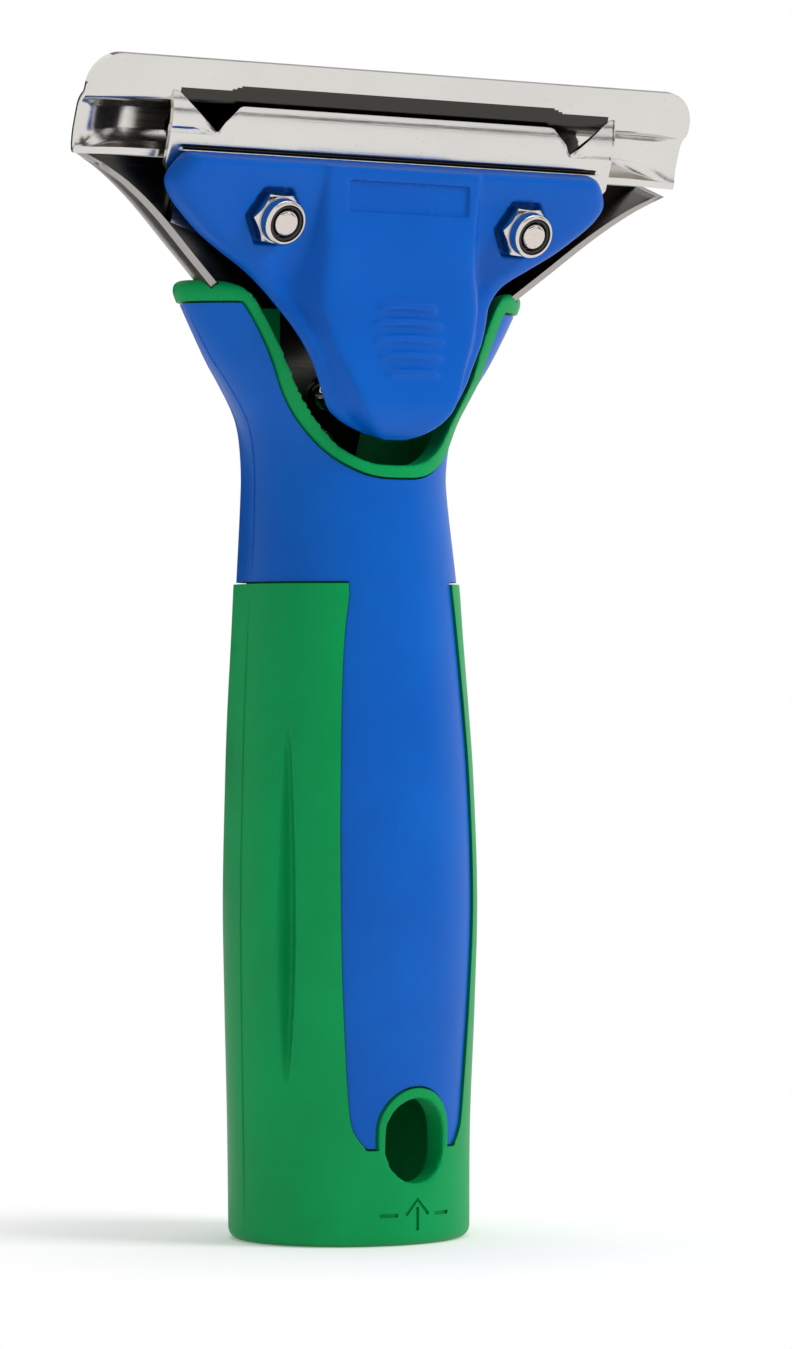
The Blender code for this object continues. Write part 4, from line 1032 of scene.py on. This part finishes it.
# Columns: height, front and rear half width, inner and outer half width of the raised middle,
# then Y of the middle, of the wings and of the back, and the depth of the rounded edge.
LEVER_SECTIONS = (
    (11.45, 35.0, 35.0, 12.4, 14.4, -9.2, -8.3, -4.9, 1.4),
    (11.0, 35.9, 35.9, 12.4, 14.4, -9.4, -8.7, -4.9, 1.9),
    (9.0, 37.6, 37.6, 12.4, 14.6, -9.9, -8.9, -4.9, 2.8),
    (7.0, 38.2, 38.2, 12.4, 14.8, -10.5, -8.9, -4.9, 3.0),
    (4.5, 36.7, 36.7, 12.3, 15.0, -11.2, -8.9, -4.9, 3.0),
    (2.0, 34.0, 34.0, 12.2, 15.2, -12.2, -8.9, -4.9, 3.0),
    (-0.5, 30.8, 30.8, 12.2, 15.5, -13.0, -8.9, -4.9, 3.0),
    (-3.0, 26.7, 26.7, 12.4, 16.0, -13.7, -8.9, -4.9, 2.8),
    (-5.5, 22.5, 22.2, 12.8, 16.4, -14.5, -9.2, -4.9, 2.6),
    (-8.0, 19.6, 18.6, 12.9, 15.8, -15.4, -10.9, -4.9, 2.5),
    (-10.2, 17.8, 16.0, 12.3, 14.8, -16.3, -13.2, -5.2, 2.2),
    (-12.5, 16.1, 13.2, 11.4, 13.7, -17.5, -15.2, -6.0, 2.0),
    (-15.5, 14.2, 10.4, 10.0, 12.0, -19.2, -16.8, -7.6, 1.9),
    (-18.3, 12.9, 8.6, 8.8, 10.7, -21.1, -17.8, -9.2, 1.9),
    (-20.9, 11.6, 7.6, 7.6, 9.4, -22.0, -18.2, -10.8, 1.9),
    (-23.2, 9.9, 6.6, 5.9, 7.7, -21.8, -18.0, -12.4, 1.8),
    (-25.0, 6.9, 5.0, 3.9, 5.0, -20.9, -17.6, -13.8, 1.4),
    (-26.2, 3.6, 2.8, 1.9, 2.8, -19.6, -17.4, -15.2, 0.7),
)
LEVER_OFFSET = -0.8
lever_rows = [(LEVER_TOP - row[0],) + row[1:] for row in LEVER_SECTIONS]


def lever_section(down):
    """One level ring of the lever, in metres, in the head's frame."""
    width, rear, inner, outer, middle, wing, back, deep = smooth(lever_rows, down)
    wide, small = deep * 1.45, deep * 0.2
    flat = max(width - wide, outer + 0.1)
    half = [
        (0, 0.0, middle), (1, inner * 0.5, middle), (2, inner * 0.85, middle),
        (3, mix(inner, outer, 0.15), mix(middle, wing, 0.12)),
        (4, mix(inner, outer, 0.5), mix(middle, wing, 0.5)),
        (5, mix(inner, outer, 0.85), mix(middle, wing, 0.88)),
        (6, mix(outer, flat, 0.2), wing), (7, mix(outer, flat, 0.6), wing), (8, flat, wing),
        (9, mix(width, flat, 0.29), wing + deep * 0.29), (10, width, wing + deep),
    ]
    line = [tuple(smooth(half, index / 3)) for index in range(31)]
    line += [(rear, back - small), (rear - small, back), (rear * 0.6, back), (rear * 0.3, back)]
    ring = line + [(0.0, back)] + [(-x, y) for x, y in reversed(line[1:])]
    z = LEVER_TOP - down
    return [Vector(((x + LEVER_OFFSET) / 1000, y / 1000, z / 1000)) for x, y in ring]


def lever_front(z):
    """Y of the raised middle's face at a height of the head's frame, in metres."""
    return smooth(lever_rows, LEVER_TOP - z * 1000)[4] / 1000


print("thumb rest stands", round(-1000 * lever_front(-0.0209), 1), "mm proud")

# %% Lever
NUT_PLACES = ((-0.02165, 0.00345), (0.02165, 0.00345))
HEX_POCKET, HEX_FLOOR = 0.0084, -0.0073
LOOSE_HOLE, TIGHT_HOLE = 0.00285, 0.00215
SUNK_HALF, SUNK_FOOT, SUNK_TOP, SUNK_DEPTH = 0.0105, 0.0054, 0.0096, 0.0007
SPRING_Z = -0.0130
SPRING_BORE = ((0.0060, -0.0121), (0.0060, 0.0))
RIBS = (
    (-0.0072, 0.0056), (-0.0094, 0.0066), (-0.0116, 0.0068), (-0.0138, 0.0062),
    (-0.0160, 0.0052),
)
RIB_SIZE = 0.00072

steps = 110
downs = [mix(lever_rows[0][0], lever_rows[-1][0], index / steps) for index in range(steps + 1)]
lever = piece(
    "lever_shell", loft([lever_section(down) for down in downs]),
    lever_skin, "lever", ["thumb_lever"], HEAD,
)


def hexagon(across_flats, centre):
    radius = across_flats / math.sqrt(3)
    return [(centre[0] + radius * math.cos(t), centre[1] + radius * math.sin(t)) for t in circle(6)]


def thumb_rib(z, reach):
    """A rounded cross rib on the raised middle, thin at its ends and bent a little down."""
    slope = Vector((0, lever_front(z + 0.0004) - lever_front(z - 0.0004), 0.0008)).normalized()
    out = Vector((0, -slope.z, slope.y))
    rings = []
    for index in range(17):
        across = index / 8 - 1
        size = RIB_SIZE * math.sqrt(max(1 - across ** 6, 0.02))
        middle = Vector((reach * across, lever_front(z), z - 0.0006 * across ** 2))
        rings.append([
            middle + size * (slope * math.cos(t) + out * math.sin(t)) for t in circle(12)
        ])
    return loft(rings)


for place in NUT_PLACES:
    carve(lever, "hex_pocket", plate(hexagon(HEX_POCKET, place), BEFORE_HEAD, HEX_FLOOR), HEAD)
    drill(lever, "bolt_hole", (place,), LOOSE_HOLE, sides=64)
sunk_rings = []
for z in (SUNK_FOOT, SUNK_TOP):
    y = lever_front(z) + SUNK_DEPTH
    sunk_rings.append([Vector((x, y + away, z)) for x, away in (
        (-SUNK_HALF, 0.0), (SUNK_HALF, 0.0), (SUNK_HALF, -PAST), (-SUNK_HALF, -PAST)
    )])
carve(lever, "sunk_panel", loft(sunk_rings), HEAD)
carve(lever, "spring_bore", turned(SPRING_BORE), at_place(0, SPRING_Z))
for z, reach in RIBS:
    carve(lever, "thumb_rib", thumb_rib(z, reach), HEAD, "UNION")
bake(lever)
soften(lever, 0.00026, 5, 0.60)

# %% [markdown]
# ## The steel pan
# The pan is one piece of sheet. Its tang goes down into the handle, its sides are turned up
# as walls that follow the lever's flare, and it carries both bolts.

# %% Pan
TANG_SCREWS = ((0, -0.0255), (0, -0.0335))
pan = piece(
    "steel_pan", pan_block(0.0), dull_steel, "handle", ["back_plate"], HEAD
)
hollow_pan(pan, 0.0)
drill(pan, "pan_hole", NUT_PLACES, TIGHT_HOLE)
drill(pan, "tang_hole", TANG_SCREWS, 0.0016, front=-0.003, sides=32)
bake(pan)
# Painted shade on the inside of the pan, between its walls and behind the lever.
paint_shade_on_faces(pan, lambda middle, facing: facing.y < 0.5 and middle.y > -0.0035
            and abs(middle.x) < pan_half_width(middle.z) - 0.0008)
edges(pan, 0.00022, 40)
print("pan ready")

# %% [markdown]
# ## The two jaws
# Both jaws are bent sheet, and their bright reflections show every facet, so they are drawn
# as dense grids that follow the bends exactly. The rear jaw has a flat lip, a trough that
# holds the rubber's channel, and a turned flange. The front jaw has a lip and two claws that
# curl towards the rear jaw.

# %% Sheet helper
def border(grid):
    """The outer points of a grid, once round."""
    last, first = grid[-1][1:], grid[0][1:-1]
    return [line[0] for line in grid] + last + [line[-1] for line in grid[-2::-1]] + first[::-1]


def sheet_solid(columns, rows, place, thickness):
    """A bent sheet; place gives its face for a column and a row's share, its back lies behind."""
    bm = bmesh.new()
    face_grid, back_grid = [], []
    for x in columns:
        line = [place(x, index / rows) for index in range(rows + 1)]
        backs = []
        for index, point in enumerate(line):
            low, high = line[max(index - 1, 0)], line[min(index + 1, rows)]
            run = Vector((0, high.y - low.y, high.z - low.z))
            run = run.normalized() if run.length > 1e-8 else Vector((0, 0, 1))
            backs.append(point + Vector((0, -run.z, run.y)) * thickness)
        face_grid.append([bm.verts.new(point) for point in line])
        back_grid.append([bm.verts.new(point) for point in backs])
    for grid, turn in ((face_grid, 1), (back_grid, -1)):
        for left, right in zip(grid, grid[1:]):
            for index in range(rows):
                corners = (left[index], right[index], right[index + 1], left[index + 1])
                bm.faces.new(corners[::turn])
    rim, back = border(face_grid), border(back_grid)
    for index in range(len(rim)):
        after = (index + 1) % len(rim)
        bm.faces.new((rim[after], rim[index], back[index], back[after]))
    return mesh_from(bm)


def line_at(points, at):
    """Read a line of (x, z) corners at one x."""
    for (x0, z0), (x1, z1) in zip(points, points[1:]):
        if at <= x1:
            return mix(z0, z1, (at - x0) / (x1 - x0))
    return points[-1][1]


print("sheet helpers ready")

# %% Rear jaw
JAW_SHEET, CLAMP_SHEET = 0.0010, -0.0008
JAW_WIDE = 0.0526
JAW_TOP = 0.0243
LIP_FOOT, LIP_FACE = 0.0193, -0.0022
CORNER = 0.0050
END_FLAT = 0.0095
# Columns: step, then Y and Z in millimetres, from the foot flange up to the lip.
JAW_BENDS = (
    (0, -3.00, 9.80), (1, -1.45, 9.84), (2, -0.10, 10.18), (3, 0.86, 10.89), (4, 1.69, 11.98),
    (5, 2.00, 13.00), (6, 2.00, 15.40), (7, 1.58, 16.69), (8, -0.10, 17.71), (9, -1.66, 18.26),
    (10, -2.15, 18.72), (11, -2.20, 19.30),
)
LIP_SHARE = 0.8


def rear_jaw_point(x, share):
    """A point of the rear jaw's face; its upper corners are round and its ends flattened."""
    top = JAW_TOP
    past = abs(x) - (JAW_WIDE - CORNER)
    if past > 0:
        top = JAW_TOP - CORNER + math.sqrt(max(CORNER ** 2 - past ** 2, 0.0)) + 1e-5
    flare = min(max((abs(x) - (JAW_WIDE - END_FLAT)) / END_FLAT, 0.0), 1.0)
    flare = flare * flare * (3 - 2 * flare)
    if share <= LIP_SHARE:
        y, z = smooth(JAW_BENDS, share / LIP_SHARE * 11)
        y = LIP_FACE * 1000 + (y - LIP_FACE * 1000) * mix(1.0, 0.29, flare)
        return Vector((x, y / 1000, (z - 0.4 * flare * max(13.0 - z, 0.0) / 3.2) / 1000))
    z = mix(LIP_FOOT, max(top, LIP_FOOT + 0.00001), (share - LIP_SHARE) / (1 - LIP_SHARE))
    return Vector((x, LIP_FACE, z))


ends = [JAW_WIDE - CORNER * (1 - math.sin(math.pi / 2 * index / 12)) for index in range(13)]
middle = [mix(0.0, 0.0270, index / 8) for index in range(8)]
middle += [mix(0.0270, 0.0300, index / 8) for index in range(8)] + [0.0300, 0.0318]
middle += [mix(0.0335, 0.0380, index / 22) for index in range(22)]
middle += [mix(0.0380, JAW_WIDE - END_FLAT, index / 3) for index in range(4)]
flares = [mix(JAW_WIDE - END_FLAT, ends[0], index / 6) for index in range(1, 6)]
right = middle + flares + ends
columns = [-x for x in reversed(right[1:])] + right
rear_jaw = piece(
    "rear_steel_jaw", sheet_solid(columns, 100, rear_jaw_point, JAW_SHEET),
    bright_steel, "handle", ["rear_jaw"], HEAD,
)
web_half = [(0.0264, -0.0025), (0.0330, -0.0005), (0.0330, 0.0103)]
carve(rear_jaw, "web", plate(mirrored(web_half), 0.0, JAW_SHEET), HEAD, "UNION")
drill(rear_jaw, "jaw_hole", NUT_PLACES, TIGHT_HOLE)
bake(rear_jaw)


def gets_painted_shade(middle, facing):
    """Faces that get painted shade: the trough behind the front jaw, its upper slope, and the thin
    top edge of the lip.
    """
    x, z = abs(middle.x), middle.z
    trough_end = 0.0364 - 0.0016 * ((z - 0.0133) / 0.0030) ** 2
    trough = facing.y < 0.2 and 0.0100 < z < 0.0166 and x < trough_end
    slope_top = 0.0208 - 0.0007 * min(max((x - 0.0272) / 0.0018, 0.0), 1.0)
    slope = facing.y < 0.3 and 0.0166 <= z < slope_top and x < 0.0374 and middle.y < 0.00195
    return trough or slope or (facing.z > 0.9 and z > 0.0200)


paint_shade_on_faces(rear_jaw, gets_painted_shade)
edges(rear_jaw, 0.00016, 50)
print("rear jaw ready")

# %% Front jaw, its tables in millimetres
FRONT_BENDS = (
    (-6.0, -4.60), (11.0, -4.60), (13.4, -4.60), (14.6, -4.58), (15.8, -4.47), (17.2, -4.15),
    (18.5, -3.66), (20.1, -3.30),
)
FRONT_TOP = (
    (0.0, 18.0), (26.9, 18.0), (27.5, 17.8), (29.8, 15.66), (30.6, 14.35), (30.9, 14.15),
    (31.2, 14.30), (37.2, 19.2), (37.6, 19.5), (38.6, 19.6),
)
FRONT_FOOT = (
    (0.0, -4.0), (14.85, -4.0), (28.12, -0.87), (36.67, 6.67), (38.2, 8.6), (38.6, 9.1),
)
FOLD_MIDDLE, FOLD_HALF, FOLD_DEPTH = 11.72, 0.50, 0.50
CREASE_MIDDLE, CREASE_HALF, CREASE_DEPTH = 14.3, 0.45, 0.26
FOLD_ZONE = (11.0, 13.2)


def front_jaw_point(x, share):
    """A point of the front jaw's face, with the pressed fold and the crease of the claws."""
    low = line_at(FRONT_FOOT, abs(x) * 1000)
    high = line_at(FRONT_TOP, abs(x) * 1000)
    if share < 0.25:
        z = mix(low, FOLD_ZONE[0], share / 0.25)
    elif share < 0.55:
        z = mix(FOLD_ZONE[0], FOLD_ZONE[1], (share - 0.25) / 0.30)
    else:
        z = mix(FOLD_ZONE[1], high, (share - 0.55) / 0.45)
    fade = min(max((0.0368 - abs(x)) / 0.0012, 0.0), 1.0)
    pressed = min(max(1.0 - abs(z - FOLD_MIDDLE) / FOLD_HALF, 0.0), 1.0)
    pressed = fade * FOLD_DEPTH * pressed * pressed * (3 - 2 * pressed)
    claw = min(max((abs(x) - 0.0300) / 0.0010, 0.0), 1.0)
    claw = CREASE_DEPTH * claw * max(1.0 - abs(z - CREASE_MIDDLE) / CREASE_HALF, 0.0)
    return Vector((x, (smooth(FRONT_BENDS, z)[0] + pressed + claw) / 1000, z / 1000))


right = [mix(0.0, 0.0250, index / 10) for index in range(11)]
right += [0.0260, 0.0269, 0.0275, 0.0286, 0.0298, 0.0306, 0.0309, 0.0312, 0.0325, 0.0340]
right += [0.0350, 0.0356, 0.0359, 0.0362, 0.0365, 0.0368, 0.0372, 0.0376, 0.0381, 0.0386]
columns = [-x for x in reversed(right[1:])] + right
front_jaw = piece(
    "front_steel_jaw", sheet_solid(columns, 120, front_jaw_point, CLAMP_SHEET),
    bright_steel, "lever", ["front_jaw"], HEAD,
)
drill(front_jaw, "clamp_hole", NUT_PLACES, LOOSE_HOLE)
bake(front_jaw)
# Painted shade on the back of the jaw's middle, which the trough mirrors, and in its pressed fold.
paint_shade_on_faces(front_jaw, lambda middle, facing: (facing.y > 0.3 and abs(middle.x) < 0.0300) or (
    abs(middle.z * 1000 - FOLD_MIDDLE) < 0.36 and facing.y < 0 and abs(middle.x) < 0.0362
))
edges(front_jaw, 0.00016, 50)
print("front jaw ready")

# %% [markdown]
# ## Nuts, rings and bolts
# Each nut is a hexagon with a round collar, and the collar holds a dark nylon ring that grips
# the bolt's thread. The end of the bolt shows inside the ring, with a small chamfer. One
# profile each makes the left and the right set.

# %% Profiles as (radius, y) points
DOME_PROFILE = (
    (0.0034, -0.0107), (0.00404, -0.0100), (0.0046, -0.0084), (0.0046, -0.0079),
    (0.0037, -0.0075),
)
COLLAR_PROFILE = (
    (0.00285, -0.01258), (0.00302, -0.01254), (0.00318, -0.01242), (0.00328, -0.01222),
    (0.00330, -0.01195), (0.00330, -0.0091),
)
BORE_PROFILE = ((0.00275, -0.0166), (0.00275, -0.01118), (0.00215, -0.01118), (0.00215, -0.0036))
RING_PROFILE = (
    (0.00218, -0.01235), (0.00235, -0.01248), (0.00250, -0.01246), (0.00265, -0.0123),
    (0.00265, -0.0113), (0.00215, -0.0113),
)
BOLT_PROFILE = (
    (0.00120, -0.01285), (0.00148, -0.01283), (0.00172, -0.01268), (0.00190, -0.01244),
    (0.00195, -0.01225), (0.00195, 0.0028), (0.0039, 0.0028), (0.0039, 0.0037),
    (0.0036, 0.0043), (0.0029, 0.0047), (0.0018, 0.0050),
)
SCREW_PROFILE = (
    (0.00150, -0.00040), (0.0021, -0.00025), (0.0025, 0.00010), (0.0026, 0.0005),
    (0.0026, 0.0012), (0.0014, 0.0012), (0.0014, 0.0046), (0.00042, 0.0060),
)
print("profiles ready")

# %% Nuts
NUT_FLATS = 0.0070
NUT_SPOTS = {"left": at_place(*NUT_PLACES[0]), "right": at_place(*NUT_PLACES[1])}
for side_name, spot in NUT_SPOTS.items():
    nut = piece(
        "lock_nut_" + side_name, plate(hexagon(NUT_FLATS, (0, 0)), -0.0106, -0.0076),
        nut_steel, "handle", ["nut_" + side_name], spot,
    )
    carve(nut, "nut_dome", turned(DOME_PROFILE), spot, "INTERSECT")
    carve(nut, "nut_collar", turned(COLLAR_PROFILE), spot, "UNION")
    carve(nut, "nut_bore", turned(BORE_PROFILE), spot)
    bake(nut)
    edges(nut, 0.00010)
    print(nut.name, len(nut.data.polygons), "faces")

# %% Rings and bolts
for side_name, spot in NUT_SPOTS.items():
    ring = piece(
        "locking_ring_" + side_name, turned(RING_PROFILE, closed=True),
        nylon_skin, "handle", ["nut_ring_" + side_name], spot,
    )
    bolt = piece(
        "bolt_end_" + side_name, turned(BOLT_PROFILE),
        nut_steel, "handle", ["bolt_" + side_name], spot,
    )
    edges(bolt, 0.00008)
    print(ring.name, bolt.name)

# %% [markdown]
# ## Spring and tang screws
# The coil spring pushes the thumb rest forward and keeps the jaw shut. It is a round wire on
# a helix. Two slotted screws hold the pan's tang on its seat in the handle.

# %% Return spring
WIRE = 0.0005
COIL = 0.0038
TURNS, STEPS = 6, 40
start_y, end_y = 0.0005, -0.0112
rise = (end_y - start_y) / (TURNS * 2 * math.pi * COIL)
rings = []
for index in range(TURNS * STEPS + 1):
    turn = 2 * math.pi * index / STEPS
    out = Vector((math.cos(turn), 0, math.sin(turn)))
    along = mix(start_y, end_y, index / (TURNS * STEPS))
    middle = COIL * out + Vector((0, along, SPRING_Z))
    ahead = Vector((-math.sin(turn), rise, math.cos(turn))).normalized()
    up = ahead.cross(out).normalized()
    rings.append([middle + WIRE * (out * math.cos(t) + up * math.sin(t)) for t in circle(12)])
spring = piece(
    "return_coil", loft(rings), spring_steel, "handle", ["return_spring"],
    HEAD,
)
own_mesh(spring)
print(spring.name, TURNS, "turns")

# %% Tang screws
for side_name, (x, z) in zip(("upper", "lower"), TANG_SCREWS):
    spot = at_place(x, z)
    screw = piece(
        "slotted_screw_" + side_name, turned(SCREW_PROFILE, 48),
        nut_steel, "handle", ["tang_screw_" + side_name], spot,
    )
    carve(screw, "slot", block((-0.007, -0.005, -0.0003), (0.007, 0.00024, 0.0003)), spot)
    bake(screw)
    edges(screw, 0.00006)
    print(screw.name)
